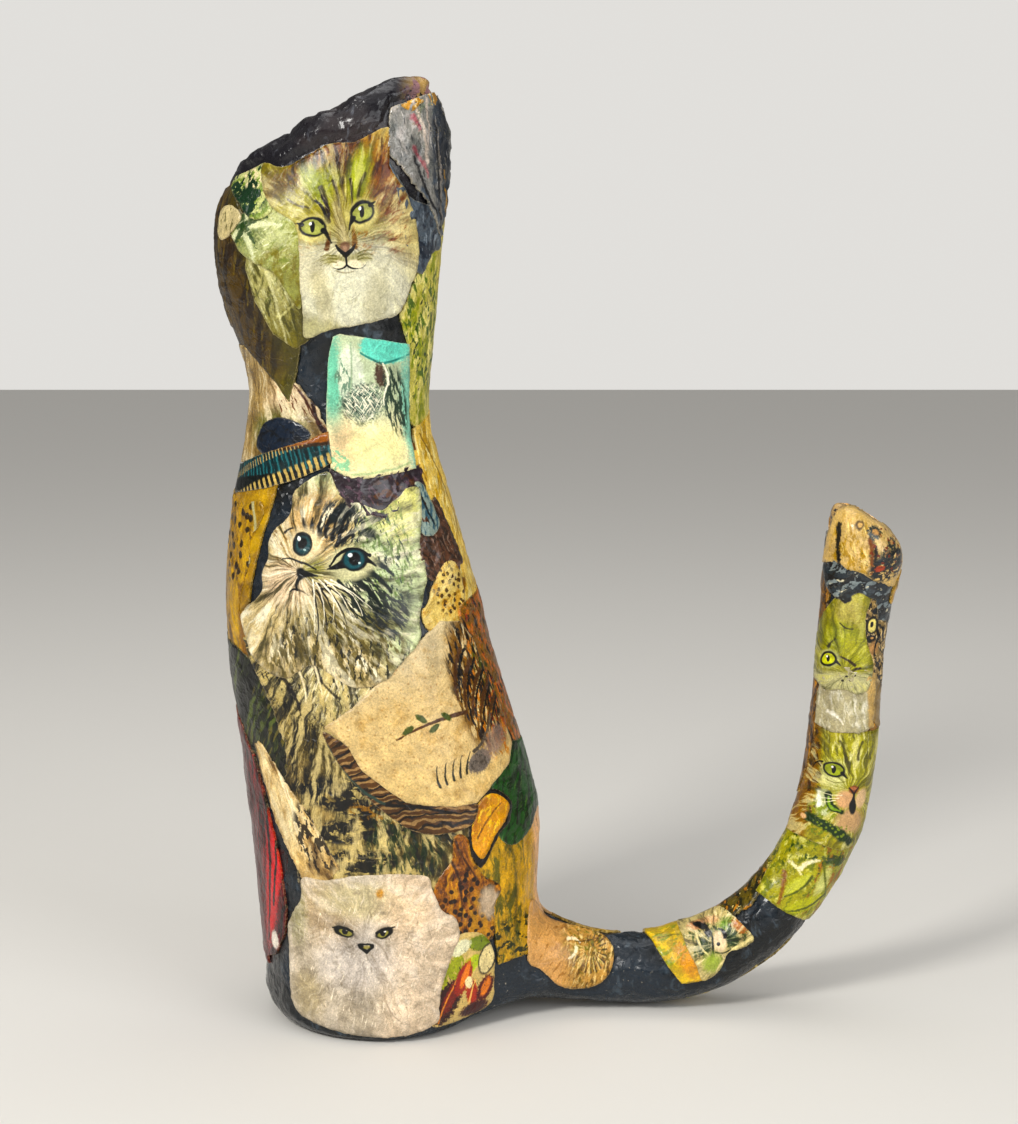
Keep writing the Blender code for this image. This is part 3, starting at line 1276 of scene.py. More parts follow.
class Drapes:
    """Builds the geometry trees, each once, when a piece first asks for it."""

    built: dict[Drape, Tree] = {}

    @classmethod
    def get(cls, kind: Drape) -> Tree:
        """Gives a tree, built if it isn't there yet.

        Args:
            kind: What the tree does.

        Returns:
            The tree.
        """
        if kind not in cls.built:
            cls.built[kind] = getattr(cls, kind.value)()
        return cls.built[kind]

    @staticmethod
    def named(bench: Bench, name: str, kind: str = "FLOAT") -> Socket:
        """Adds a Named Attribute node and gives the attribute."""
        return bench.add("GeometryNodeInputNamedAttribute", name, data_type=kind).outputs[0]

    @staticmethod
    def close(bench: Bench, of: object, give: Callable, shape: Socket) -> Tree:
        """Makes what a tree built real, gives it the material, and gives the tree.

        Args:
            bench: The group's bench.
            of: Its inputs.
            give: What feeds its outputs.
            shape: What the tree built.

        Returns:
            The tree.
        """
        real = bench.add("GeometryNodeRealizeInstances", shape).outputs[0]
        give("Geometry", bench.add("GeometryNodeSetMaterial", real, None, of["Material"]).outputs[0])
        return bench.tree

    @staticmethod
    def relief() -> Tree:
        """The uneven form under everything: soft lumps, fine wrinkles and sharp folds, each 0 to 1.

        Returns:
            The tree.
        """
        bench, of, give = Shelf.group("relief", "Place", "Lumps Wrinkles Folds", "GeometryNodeTree")
        spot = bench.scaled(of["Place"], 1.0 / MM)
        give("Lumps", bench.math("SUBTRACT", bench.noise(spot, 0.035, 2.0, 0.5).outputs[0], 0.5))
        cloud = bench.noise(spot, 0.06, 2.0).outputs[1]
        bent = bench.vector("ADD", spot, bench.scaled(cloud, 16.0))
        waver = bench.noise(bent, 0.11, 2.0, 0.5).outputs[0]
        ridge = bench.math("ABSOLUTE", bench.math("SUBTRACT", waver, 0.5))
        give("Wrinkles", bench.rise(ridge, 0.0, 0.09, 1.0, 0.0))
        heights = []
        for scale, depth in ((0.05, 1.9), (0.13, 0.6)):
            heights.append(bench.times(bench.facets(bent, scale), -1.5 * depth, depth))
        give("Folds", bench.math("ADD", *heights))
        return bench.tree

    @classmethod
    def crumple(cls) -> Tree:
        """The tree that crumples the bare skin.

        Returns:
            The tree.
        """
        takes = "Geometry Sink Lumps Folds Material"
        bench, of, give = Shelf.group("crumple", takes, "Geometry", "GeometryNodeTree")
        place = bench.add("GeometryNodeInputPosition").outputs[0]
        uneven = bench.add("GeometryNodeGroup", place, node_tree=cls.get(Drape.RELIEF)).outputs
        lumps = bench.times(uneven["Lumps"], of["Lumps"])
        folds = bench.times(bench.times(uneven["Folds"], of["Folds"]), cls.named(bench, "bare"))
        height = bench.math("SUBTRACT", bench.math("ADD", lumps, folds), of["Sink"])
        normal = bench.add("GeometryNodeInputNormal").outputs[0]
        foot = bench.add("ShaderNodeSeparateXYZ", place).outputs[2]
        height = bench.times(height, bench.rise(foot, 0.0005, 0.006))
        move = bench.scaled(normal, height)
        moved = bench.add("GeometryNodeSetPosition", of["Geometry"], None, None, move).outputs[0]
        return cls.close(bench, of, give, bench.add("GeometryNodeSetShadeSmooth", moved).outputs[0])

    @classmethod
    def lay(cls) -> Tree:
        """The tree that lays a flat paper on the chart, over the papers under it.

        Returns:
            The tree.
        """
        takes = "Geometry Chart Lumps Wrinkles Material"
        bench, of, give = Shelf.group("lay", takes, "Geometry", "GeometryNodeTree")
        sheet = bench.add("GeometryNodeObjectInfo", of["Chart"]).outputs["Geometry"]
        where = {"Mesh": sheet, "Source UV Map": cls.named(bench, "flat", "FLOAT_VECTOR")}
        where["Sample UV"] = cls.named(bench, "chart", "FLOAT_VECTOR")
        place = bench.add("GeometryNodeInputPosition").outputs[0]
        found = []
        for value in (place, cls.named(bench, "across", "FLOAT_VECTOR")):
            named = where | {"Value": value}
            sample = bench.add("GeometryNodeSampleUVSurface", named=named, data_type="FLOAT_VECTOR")
            found.append(sample.outputs[0])
        across = bench.vector("NORMALIZE", found[1])
        uneven = bench.add("GeometryNodeGroup", found[0], node_tree=cls.get(Drape.RELIEF)).outputs
        lift = cls.named(bench, "lift")
        lumps = bench.times(uneven["Lumps"], of["Lumps"])
        wrinkles = bench.times(uneven["Wrinkles"], of["Wrinkles"])
        raised = bench.times(lift, MM, bench.math("ADD", lumps, wrinkles))
        laid = bench.vector("ADD", found[0], bench.scaled(across, raised))
        moved = bench.add("GeometryNodeSetPosition", of["Geometry"], None, laid).outputs[0]
        neighbours = bench.add("GeometryNodeInputMeshEdgeNeighbors").outputs[0]
        rim = bench.math("COMPARE", neighbours, 1.0, 0.5)
        down = bench.scaled(across, bench.times(lift, -MM, -0.5 * MM))
        smooth = bench.add("GeometryNodeSetShadeSmooth", moved).outputs[0]
        skirt = bench.add("GeometryNodeExtrudeMesh", smooth, rim, down, 1.0, mode="EDGES").outputs
        sharp = bench.add("GeometryNodeSetShadeSmooth", skirt[0], skirt[2], False).outputs[0]
        return cls.close(bench, of, give, sharp)

    @staticmethod
    def settle(piece: bpy.types.Object, tree: Tree, **values: object) -> None:
        """Runs a tree on a piece and keeps the result as its plain mesh.

        Args:
            piece: The piece.
            tree: The tree.
            values: What the tree's inputs get, by their names.
        """
        modifier = piece.modifiers.new(tree.name, "NODES")
        modifier.node_group = tree
        for item in tree.interface.items_tree:
            if item.in_out == "INPUT" and item.name in values:
                modifier[item.identifier] = values[item.name]
        freeze(piece, modifier)


class Cut(Enum):
    """How the edge of a paper was made: the waver of its line, in millimetres, and how it turns corners."""

    STRAIGHT = (0.15, 0.0)
    ROUND = (0.2, 1.0)
    TORN = (0.75, 0.4)


@dataclass(frozen=True)
class Paper:
    """One printed cut-out, drawn on a chart in millimetres."""

    name: str
    printed: Print
    outline: tuple[Point, ...]
    middle: Point
    cut: Cut = Cut.ROUND
    turn: float = 0.0
    wrinkles: float = 0.22
    GAP = 1.05
    RIM_GAP = 0.8
    ROW_GAP = 0.866
    WAVES = (9.0, 4.0, 1.8)
    FULL_TURN = 6.28

    def rim(self) -> np.ndarray:
        """The paper's cut line as close points, in chart millimetres.

        Returns:
            One point a row, in order round the paper.
        """
        waver, round_corners = self.cut.value
        chance = random.Random(zlib.crc32(self.name.encode()))
        points = [np.array(point) for point in self.outline]
        line = []
        for k, start in enumerate(points):
            end = points[(k + 1) % len(points)]
            knots = (points[k - 1], start, end, points[(k + 2) % len(points)])
            steps = max(1, int(np.linalg.norm(end - start) / (self.GAP * self.RIM_GAP)))
            for step in range(steps):
                share = step / steps
                straight = start + (end - start) * share
                line.append(straight + (bend(knots, share) - straight) * round_corners)
        waves = []
        for length in self.WAVES:
            waves.append((chance.uniform(0.0, self.FULL_TURN), chance.uniform(0.5, 1.3) / length))
        walked = 0.0
        for k, point in enumerate(line):
            walked += float(np.linalg.norm(point - line[k - 1]))
            angles = [walked * pace * self.FULL_TURN + phase for phase, pace in waves]
            shift = [sum(math.sin(angle + turn) for angle in angles) for turn in (0.0, 2.0)]
            line[k] = point + np.array(shift) * (waver / len(waves))
        return np.array(line)

    def filling(self, rim: np.ndarray) -> np.ndarray:
        """Evenly spaced points inside the cut line, clear of it.

        Args:
            rim: The cut line.

        Returns:
            One point a row.
        """
        low, high = rim.min(axis=0), rim.max(axis=0)
        rows = np.arange(low[1], high[1], self.GAP * self.ROW_GAP)
        grid = []
        for k, row in enumerate(rows):
            columns = np.arange(low[0] + (k % 2) * self.GAP * 0.5, high[0], self.GAP)
            grid.append(np.stack([columns, np.full_like(columns, row)], axis=1))
        grid = np.concatenate(grid)
        ends = np.roll(rim, -1, axis=0)
        crossings = np.zeros(len(grid), dtype=int)
        for start, end in zip(rim, ends):
            if start[1] == end[1]:
                continue
            spans = (start[1] > grid[:, 1]) != (end[1] > grid[:, 1])
            meets = start[0] + (grid[:, 1] - start[1]) * (end[0] - start[0]) / (end[1] - start[1])
            crossings += spans & (grid[:, 0] < meets)
        inside = grid[crossings % 2 == 1]
        return inside[self.to_rim(inside, rim) > self.GAP * 0.5]

    @staticmethod
    def to_rim(points: np.ndarray, rim: np.ndarray) -> np.ndarray:
        """The distance of each point to the cut line, in millimetres.

        Args:
            points: The points, in chart millimetres.
            rim: The cut line.

        Returns:
            One distance for each point.
        """
        nearest = np.full(len(points), 1e9)
        for start, end in zip(rim, np.roll(rim, -1, axis=0)):
            run = end - start
            share = np.clip(((points - start) @ run) / max(float(run @ run), 1e-9), 0.0, 1.0)
            away = np.linalg.norm(points - start - share[:, None] * run, axis=1)
            nearest = np.minimum(nearest, away)
        return nearest

    def make(self, chart: Chart, stack: PaperStack, lumps: float) -> bpy.types.Object:
        """Cuts the paper and lays it on the cat.

        Args:
            chart: The chart that it is drawn on.
            stack: The papers under it.
            lumps: The height of the lumps in the form, in millimetres.

        Returns:
            The finished piece.
        """
        rim = self.rim()
        rim[:, 1] = np.minimum(rim[:, 1], chart.top)
        flat = np.concatenate([rim, self.filling(rim)])
        corners = [Vector(point) for point in flat.tolist()]
        loop = list(range(len(rim)))
        cut = delaunay_2d_cdt(corners, [], [loop], 1, 1e-6)
        points = np.array([tuple(point) for point in cut[0]])
        faces = [face for face in cut[2] if len(face) == 3]
        mesh = bpy.data.meshes.new(self.name)
        mesh.from_pydata([(x, y, 0.0) for x, y in points.tolist()], [], faces)
        places = chart.find(points)
        links = np.array([edge.vertices[:] for edge in mesh.edges])
        lift = stack.lay(places, links)
        store(mesh, "lift", lift)
        store(mesh, "edge", self.to_rim(points, rim))
        store(mesh, "chart", chart.to_share(points))
        spots = chart.flatten(points, self.middle, self.turn).astype(np.float32)
        order = np.zeros(len(mesh.loops), dtype=int)
        mesh.loops.foreach_get("vertex_index", order)
        mesh.uv_layers.new(name="print").data.foreach_set("uv", spots[order].ravel())
        piece = put(self.name, mesh)
        values = {"Chart": chart.sheet, "Lumps": lumps * MM, "Wrinkles": self.wrinkles * MM}
        values["Material"] = self.printed.material(self.name)
        Drapes.settle(piece, Drapes.get(Drape.LAY), **values)
        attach(piece, ROOT)
        LOG.info("%s: %d triangles", self.name, len(piece.data.polygons))
        return piece


@dataclass(frozen=True)
class BarePaper:
    """Dark glossy paper in navy, charcoal and plum, with light streaks of painted sheen, rubbed pale here
    and there, with flakes at the ears.
    """

    # Each set holds a deep ink, a base ink and a lighter ink of painted sheen.
    navy: tuple[Ink, Ink, Ink] = ("0f1214", "1a232c", "36414a")
    plum: tuple[Ink, Ink, Ink] = ("17151a", "2a2223", "47484f")
    flakes: tuple[Ink, Ink] = ("c8a05a", "b8868a")
    rubbed: Ink = "a59c8a"
    tail_end: Ink = "b08f58"
    plum_up: Point = (285.0, 305.0)
    ears_along: Point = (8.0, 22.0)
    ears_up: Point = (332.0, 335.0)
    tail_along: Point = (90.0, 100.0)
    tail_up: Point = (190.0, 194.0)
    relief: float = 0.6
    shine: float = 0.22
    gloss: float = 0.3
    gloss_blur: float = 0.08

    def material(self, name: str) -> bpy.types.Material:
        """Paints and varnishes the skin.

        Args:
            name: The material's name.

        Returns:
            The skin's material.
        """
        material = bpy.data.materials.new(name)
        material.use_nodes = True
        bench = Bench(material.node_tree)
        shader = bench.tree.nodes["Principled BSDF"]
        spot = bench.scaled(bench.add("ShaderNodeTexCoord").outputs["Object"], 1.0 / MM)
        broad = bench.noise(spot, 0.035, 3.0, 0.6)
        fine = bench.noise(spot, 0.35, 3.0, 0.65).outputs[0]
        bent = bench.vector("ADD", spot, bench.scaled(broad.outputs[1], 20.0))
        streaks = bench.noise(bench.vector("MULTIPLY", bent, (1.0, 1.0, 0.3)), 0.3, 3.0, 0.6).outputs[0]
        # The third ink of each set is painted sheen, laid in light streaks over the darker paper.
        deep, navy, painted_sheen = (ink(code) for code in self.navy)
        body = bench.mix(bench.rise(broad.outputs[0], 0.42, 0.6), deep, navy)
        body = bench.mix(bench.rise(streaks, 0.56, 0.72), body, painted_sheen)
        deep, plum, painted_sheen = (ink(code) for code in self.plum)
        crown = bench.mix(bench.rise(broad.outputs[0], 0.45, 0.62), deep, plum)
        crown = bench.mix(bench.rise(streaks, 0.58, 0.72), crown, painted_sheen)
        along, _, height = bench.add("ShaderNodeSeparateXYZ", spot).outputs
        high = bench.rise(bench.times(fine, 20.0, height), *self.plum_up)
        dark = bench.mix(high, body, crown)
        specks = bench.noise(spot, 0.9, 2.0, 0.6).outputs[0]
        worn = bench.times(bench.rise(specks, 0.68, 0.74), bench.rise(broad.outputs[0], 0.54, 0.64))
        rubbed = bench.mix(worn, dark, ink(self.rubbed))
        raised = bench.times(specks, 30.0, height)
        ears = bench.times(bench.rise(along, *self.ears_along), bench.rise(raised, *self.ears_up))
        flakes = bench.mix(bench.rise(streaks, 0.45, 0.55), *(ink(code) for code in self.flakes))
        tipped = bench.mix(ears, rubbed, flakes)
        tail_end = bench.times(bench.rise(along, *self.tail_along), bench.rise(raised, *self.tail_up))
        colour = bench.mix(tail_end, tipped, ink(self.tail_end))
        bench.plug(shader.inputs["Base Color"], colour)
        bench.plug(shader.inputs["Roughness"], bench.times(fine, 0.4, 0.08))
        large, small = bench.facets(bent, 0.14), bench.facets(bent, 0.33)
        crease = bench.times(large, -3.0, bench.times(small, -1.2))
        grain = bench.times(fine, 0.2, crease)
        named = {"Strength": 0.8, "Distance": self.relief * MM, "Height": grain}
        relief = bench.add("ShaderNodeBump", named=named)
        bench.plug(shader.inputs["Normal"], relief.outputs[0])
        shader.inputs["Specular IOR Level"].default_value = self.shine
        shader.inputs["Coat Weight"].default_value = self.gloss
        shader.inputs["Coat Roughness"].default_value = self.gloss_blur
        return material


@dataclass
class Skin:
    """The crumpled paper skin that stands for the CAD solid, and shows where nothing is glued over it."""

    name: str = "crumpled_skin"
    levels: int = 2
    sink: float = 0.55
    lumps: float = 1.1
    folds: float = 0.7
    crown_folds: float = 2.2
    crown: Point = (285.0, 300.0)
    softenings: int = 3
    weld: float = 1e-6
    flat_angle: float = math.radians(40.0)
    finish: BarePaper = BarePaper()
    piece: bpy.types.Object = field(default=None, repr=False)

    def form(self) -> BVHTree:
        """Makes the smooth form from the CAD solid.

        Returns:
            The form, to measure against.
        """
        work = bmesh.new()
        work.from_mesh(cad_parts[NODE].data)
        bmesh.ops.remove_doubles(work, verts=work.verts, dist=self.weld)
        limits = {"angle_face_threshold": self.flat_angle, "angle_shape_threshold": self.flat_angle}
        bmesh.ops.join_triangles(work, faces=work.faces, **limits)
        bmesh.ops.recalc_face_normals(work, faces=work.faces)
        coarse = bpy.data.meshes.new(self.name)
        work.to_mesh(coarse)
        work.free()
        self.piece = put(self.name, coarse)
        rounding = self.piece.modifiers.new("rounding", "SUBSURF")
        rounding.levels = self.levels
        freeze(self.piece, rounding)
        return BVHTree.FromObject(self.piece, bpy.context.evaluated_depsgraph_get())

    def crumple(self, stack: PaperStack) -> None:
        """Marks where the skin is bare, and crumples it there.

        Args:
            stack: The papers that cover it.
        """
        mesh = self.piece.data
        places = np.zeros(len(mesh.vertices) * 3)
        mesh.vertices.foreach_get("co", places)
        places = places.reshape(-1, 3)
        bare = np.array([0.0 if stack.height(cell) > 0.0 else 1.0 for cell in stack.cells(places)])
        links = np.zeros(len(mesh.edges) * 2, dtype=int)
        mesh.edges.foreach_get("vertices", links)
        links = links.reshape(-1, 2)
        for _ in range(self.softenings):
            bare = np.minimum(bare, beside(bare, links))
        store(mesh, "bare", bare * (1.0 + self.crown_folds * ramp(places[:, 2] / MM, *self.crown)))
        values = {"Sink": self.sink * MM, "Lumps": self.lumps * MM, "Folds": self.folds * MM}
        values["Material"] = self.finish.material(self.name)
        Drapes.settle(self.piece, Drapes.get(Drape.CRUMPLE), **values)
        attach(self.piece, ROOT)
        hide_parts(NODE)
        LOG.info("%s: %d faces", self.name, len(self.piece.data.polygons))


@dataclass(frozen=True)
class Lamp:
    """One soft light: its place, its width and height in metres, its power in watts and its colour."""

    name: str
    at: tuple[float, float, float]
    size: Point
    power: float
    colour: tuple[float, float, float] = (1.0, 1.0, 1.0)

    def hang(self, target: Vector) -> None:
        """Hangs the light and turns it to the target.

        Args:
            target: The point that it lights.
        """
        light = bpy.data.lights.new(self.name, "AREA")
        light.shape = "RECTANGLE"
        light.size, light.size_y = self.size
        light.energy = self.power
        light.color = self.colour
        lamp = put(self.name, light)
        lamp.location = self.at
        lamp.rotation_euler = (target - Vector(self.at)).to_track_quat("-Z", "Y").to_euler()


@dataclass
class Studio:
    """The camera, the pale floor and the lights."""

    eye: tuple = (0.0458, -0.797, 0.280)
    tilt: float = 81.5
    lens: float = 73.66
    sensor: float = 36.0
    nearest: float = 0.01
    target: tuple = (0.03, 0.0, 0.16)
    floor_half: float = 3.0
    floor_ink: Ink = "d9d6d0"
    wall_ink: Ink = "eceae6"
    wall_light: Point = (0.17, 0.9)
    sky_power: float = 1.3
    sky_spread: float = 90.0
    sky_turn: tuple = (35.0, 0.0, -20.0)
    lamps: tuple[Lamp, ...] = (
        Lamp("key", (-0.65, -0.9, 0.9), (0.3, 0.3), 13.5, (1.0, 0.98, 0.94)),
        Lamp("fill", (0.9, -0.85, 0.5), (0.7, 0.7), 6.5, (0.96, 0.98, 1.0)),
        Lamp("top", (0.1, 0.3, 1.2), (0.8, 0.6), 3.0),
    )

    def camera(self) -> None:
        """Makes the camera, and sees through it."""
        lens = bpy.data.cameras.new("camera")
        lens.lens = self.lens
        lens.sensor_width = self.sensor
        lens.clip_start = self.nearest
        camera = put("camera", lens)
        camera.location = self.eye
        camera.rotation_euler = (math.radians(self.tilt), 0.0, 0.0)
        bpy.context.scene.camera = camera

    def floor(self) -> None:
        """Makes the plain pale floor."""
        half = self.floor_half
        mesh = bpy.data.meshes.new("floor")
        corners = [(-half, -half, 0.0), (half, -half, 0.0), (half, half, 0.0), (-half, half, 0.0)]
        mesh.from_pydata(corners, [], [(0, 1, 2, 3)])
        material = bpy.data.materials.new("floor")
        material.use_nodes = True
        shader = material.node_tree.nodes["Principled BSDF"]
        shader.inputs["Base Color"].default_value = ink(self.floor_ink)
        shader.inputs["Roughness"].default_value = 0.7
        mesh.materials.append(material)
        put("floor", mesh)

    def surroundings(self) -> None:
        """Makes the pale surroundings, which look brighter than the light that they give."""
        world = bpy.data.worlds.new("surroundings")
        world.use_nodes = True
        bench = Bench(world.node_tree)
        seen = bench.add("ShaderNodeLightPath").outputs["Is Camera Ray"]
        backdrop = world.node_tree.nodes["Background"]
        backdrop.inputs["Color"].default_value = ink(self.wall_ink)
        bench.plug(backdrop.inputs["Strength"], bench.rise(seen, 0.0, 1.0, *self.wall_light))
        bpy.context.scene.world = world

    def lights(self) -> None:
        """Hangs the soft lights and lights the sky."""
        for lamp in self.lamps:
            lamp.hang(Vector(self.target))
        sky = bpy.data.lights.new("sky", "SUN")
        sky.energy = self.sky_power
        sky.angle = math.radians(self.sky_spread)
        put("sky", sky).rotation_euler = [math.radians(turn) for turn in self.sky_turn]

    def set_up(self) -> None:
        """Makes the camera, the floor, the surroundings and the lights."""
        self.camera()
        self.floor()
        self.surroundings()
        self.lights()
        bpy.context.scene.view_settings.view_transform = "Standard"


@dataclass
class Cat:
    """The whole cat: the skin, and the cut-outs in the order in which they are glued on."""

    skin: Skin
    layers: tuple[tuple[Side, tuple[Paper, ...]], ...]

    def build(self) -> None:
        """Builds the skin, glues the cut-outs on and crumples what stays bare."""
        form = self.skin.form()
        charts = {side: side.chart().survey(form) for side in Side}
        stack = PaperStack()
        for side, papers in self.layers:
            for paper in papers:
                paper.make(charts[side], stack, self.skin.lumps)
        self.skin.crumple(stack)
        for chart in charts.values():
            bpy.data.objects.remove(chart.sheet)


class Stock:
    """The printed sheets that both sides are cut from."""

    OLIVE = Print("64521c", (
        Blotch((0, 0), (60, 90), "3b2b06", (5, 18), 0.47, 0.1, -14),
        Blotch((0, 0), (60, 90), "85762e", (3, 14), 0.56, 0.1, -14, 0.8),
        Wash((6, -14), "5d5a1c", -70, 6, 6, 0.8), Wash((2, -30), "73701f", 190, 6, 6, 0.7),
        Line((-24, 20), (-6, -34), "2a1d05", 0.5, 0.3, 3, 0.4, 1.5, 0.8),
        Line((-18, 26), (4, -30), "3a2a08", 0.4, 0.2, 3, 0.4, 1.5, 0.7),
    ))
    # Crumpled grey paper. The pale upper-left blotches and pale ridge lines are painted highlights on its
    # folds; the dark blue-grey blotch and ovals down the right, the dark fold streaks and the dark lines
    # are painted shade. The grey, the pink strokes and the gold edge line are its own colours.
    GREY = Print("9f9e9b", (
        Blotch((0, 0), (26, 26), "7b7d7b", (6, 9), 0.5, 0.16, 14),
        Blotch((-4, 10), (20, 20), "c3bfbd", (4, 8), 0.5, 0.14, 20, 0.9),
        Blotch((6, 12), (16, 14), "8c9482", (5, 7), 0.52, 0.14, -20, 0.8),
        Blotch((8, 0), (7, 28), "3c4552", (3, 9), 0.38, 0.1, 6, 0.9),
        Blotch((4, -16), (20, 12), "66717e", (4, 9), 0.5, 0.12, 26, 0.9),
        Oval((9, 8), (6, 17), "343c48", 4, 0.35, 2, 0.9), Oval((3, 10), (3, 12), "5c6470", -6, 0.5, 2, 0.6),
        Blotch((2, 4), (16, 26), "2c3038", (1.6, 10), 0.6, 0.05, 16, 0.9),
        Blotch((-2, 6), (14, 24), "dedbd8", (1.2, 9), 0.62, 0.05, 14, 0.8),
        Line((-4, -2), (-1, -7), "c88c90", 0.8, 0.2, 0.5, 0.6, 1, 0.8),
        Line((-8.6, 14), (-5.6, 9), "b8707c", 1.2, 0.3, 0.4, 0.7, 2, 0.8),
        Line((-8, 3), (-4.6, -3), "b06a74", 0.9, 0.3, 0.2, 0.6, 1.5, 0.8),
        Line((-3, 20), (-1.4, 3), "cfc4bb", 0.5, 0.2, 0.4, 0.3, 1, 0.9),
        Line((-9, 20), (-2, -2), "e6dad0", 0.5, 0.7, 1.4, 0.5, 1.5, 0.8),
        Line((1.6, 12), (7.6, -22), "16171b", 0.3, 0.9, 0.8, 0.3, 1.2, 0.9),
        Line((2.6, 12), (8.8, -20), "a9a29b", 0.3, 0.5, 0.8, 0.3, 1.2, 0.8),
        Line((-8, 0), (4, -18), "1b1c22", 0.5, 0.7, -0.8, 0.3, 1.2, 0.9),
        Line((9, -4), (13, -16), "c9a45c", 0.3, 0.8, 0.5, 0.4, 1.8, 0.8),
    ), 0.5, 0.2, 1)
    FERN = Print("8d8644", (
        Oval((-4, 2), (10, 16), "b3b084", 14, 0.5, 1),
        Blotch((-3, 4), (14, 24), "d3d3b0", (2.2, 10), 0.48, 0.16, 24, 0.9),
        Wash((6, 0), "5f5a1c", -88, 3, 4, 0.9),
        Blotch((2, -10), (16, 24), "5c5a20", (2.2, 9), 0.5, 0.14, 14, 0.9),
        Blotch((0, 8), (16, 18), "74803a", (1.6, 8), 0.55, 0.12, -30, 0.8),
        Line((-9, 20), (3, -22), "dedcb8", 0.5, 0.3, 1, 0.5, 1, 0.8),
        *(
            Line((-8 + k * 2, 16 - k * 7), (k * 2 - 1, 22 - k * 7), "dad8ac", 0.4, 0.1, -0.8, 0.4, 1, 0.7)
            for k in range(5)
        ),
        *(
            Line((-8 + k * 2, 16 - k * 7), (k * 2 - 12, 8 - k * 7), "4d5420", 0.4, 0.1, 0.8, 0.4, 1, 0.6)
            for k in range(4)
        ),
    ))
    GOLD = Print("eed894", (
        Blotch((0, 0), (40, 60), "cfae48", (4, 14), 0.5, 0.1, -12),
        Blotch((0, 0), (40, 60), "faf0c0", (2, 12), 0.54, 0.06, -12, 0.9),
        Line((-8, 28), (10, -26), "8f6f22", 0.5, 0.3, 2, 0.3, 1, 0.8),
        Line((-2, 30), (14, -20), "e9d58f", 0.4, 0.3, 3, 0.2, 0.8, 0.8),
        Line((-10, 20), (-4, -4), "f0dfa6", 0.5, 0.3, 1, 0.2, 0.8, 0.8),
    ))
    CUB = Print("b4942e", (
        Blotch((0, 0), (30, 50), "86691a", (4, 8), 0.54, 0.1, 10),
        Blotch((4, 0), (20, 50), "d4b048", (3, 8), 0.54, 0.1, 10, 0.9),
        Fur("dcc06a", "4c3a0a", (10, 60), 30, 8, 0.5), Spots((-2, 12), (16, 20), "2a1c06", 5, 0.2, 30),
        Line((6, 26), (7, 4), "c5c3a4", 0.8, 0.4, 2.5, 0.4, 1.2, 0.9),
        Line((5, -6), (2, -28), "8a640f", 3, 2, 0, 2, 3, 0.8),
    ))
    GRASS = Print("2d3322", (
        Fur("6f7a4a", "0c0f0c", (30, 60), 40, 10, 0.95),
        Blotch((6, -4), (14, 26), "7d7648", (2, 10), 0.54, 0.08, -25, 0.85),
        Stripes((0, 0), (24, 34), "0e1412", 4, 60, 0, 5, 0.2, 3, 0.8),
    ))
    OCHRE = Print("c9a83c", (
        Blotch((-8, 0), (14, 46), "7f7a20", (4, 12), 0.48, 0.1, -8),
        Blotch((2, 0), (22, 46), "e8c25c", (4, 14), 0.5, 0.1, 6, 0.9), Wash((12, 4), "ecc9a4", -84, 2.5, 6),
        Blotch((14, 6), (8, 40), "b88f5a", (1.6, 9), 0.55, 0.08, 4),
        Blotch((0, -22), (20, 12), "3c4414", (4, 3), 0.5, 0.08),
        Line((-6, 24), (-2, -24), "55560f", 1.2, 0.6, 3, 1, 3, 0.7),
        Line((5, 24), (10, -20), "e2bd66", 0.8, 0.4, -2, 0.6, 2, 0.8),
    ))
    BARK = Print("9c7840", (
        Blotch((0, 0), (30, 40), "d08a42", (4, 6), 0.5, 0.08, 20),
        Blotch((0, 0), (30, 40), "2a1a0e", (2.2, 7), 0.54, 0.06, 20),
        Blotch((0, 0), (30, 40), "b04a2c", (2.4, 3), 0.6, 0.05, 0, 0.9),
        Blotch((4, 0), (20, 40), "4a5a2a", (3, 5), 0.58, 0.06, 10, 0.9),
    ))
    RED = Print("6e121c", (
        Blotch((0, 0), (20, 60), "2b0509", (2.4, 20), 0.5, 0.06, -4),
        Blotch((-4, 0), (8, 60), "a2474c", (1.2, 16), 0.56, 0.06, -4, 0.9),
        Oval((4.6, -6), (5, 30), "c81622", -3, 0.25, 0.8),
        # The light red strip down the right, the pink-orange streak at the top and the white spot at the
        # foot are painted highlights on the varnish.
        Oval((7, 4), (2.6, 24), "e0434a", -6, 0.4, 0.8, 0.8),
        Line((1.2, 34), (2.6, -34), "1a0508", 0.9, 0.6, 0, 0.4, 1.5),
        Line((7, 26), (5.4, -20), "2a0a16", 0.3, 0.7, -0.4, 0.3, 1.2),
        Line((4.6, 38), (7.6, 14), "dba08a", 0.9, 0.3, 0, 0.3, 0.8, 0.9),
        Oval((7.5, -33), (2.6, 3.4), "e2dcd2", 20, 0.3, 0.8),
    ), 0.25, 0.1, 0.2)
    STRIP = Print("d6d08a", (
        Blotch((-8, 0), (14, 40), "a4ac3a", (4, 10), 0.46, 0.12),
        Blotch((0, 0), (20, 44), "f3edb4", (4, 12), 0.48, 0.12, 0, 0.95),
        Blotch((-4, 4), (12, 30), "567a16", (2.4, 6), 0.5, 0.1, 24, 0.9),
        Blotch((0, 4), (14, 30), "2e4a18", (1.8, 4), 0.56, 0.08, -30, 0.95),
        Wash((9, 0), "e0c68a", -90, 2, 4, 0.7),
    ))
    PLUM = Print("3b2a35", (
        Blotch((0, 0), (24, 16), "6a5560", (1.6, 4), 0.55, 0.05, 30),
        Blotch((6, -2), (10, 8), "6d4a2c", (3, 3), 0.5),
    ), 0.6, 0.1, 0.6)
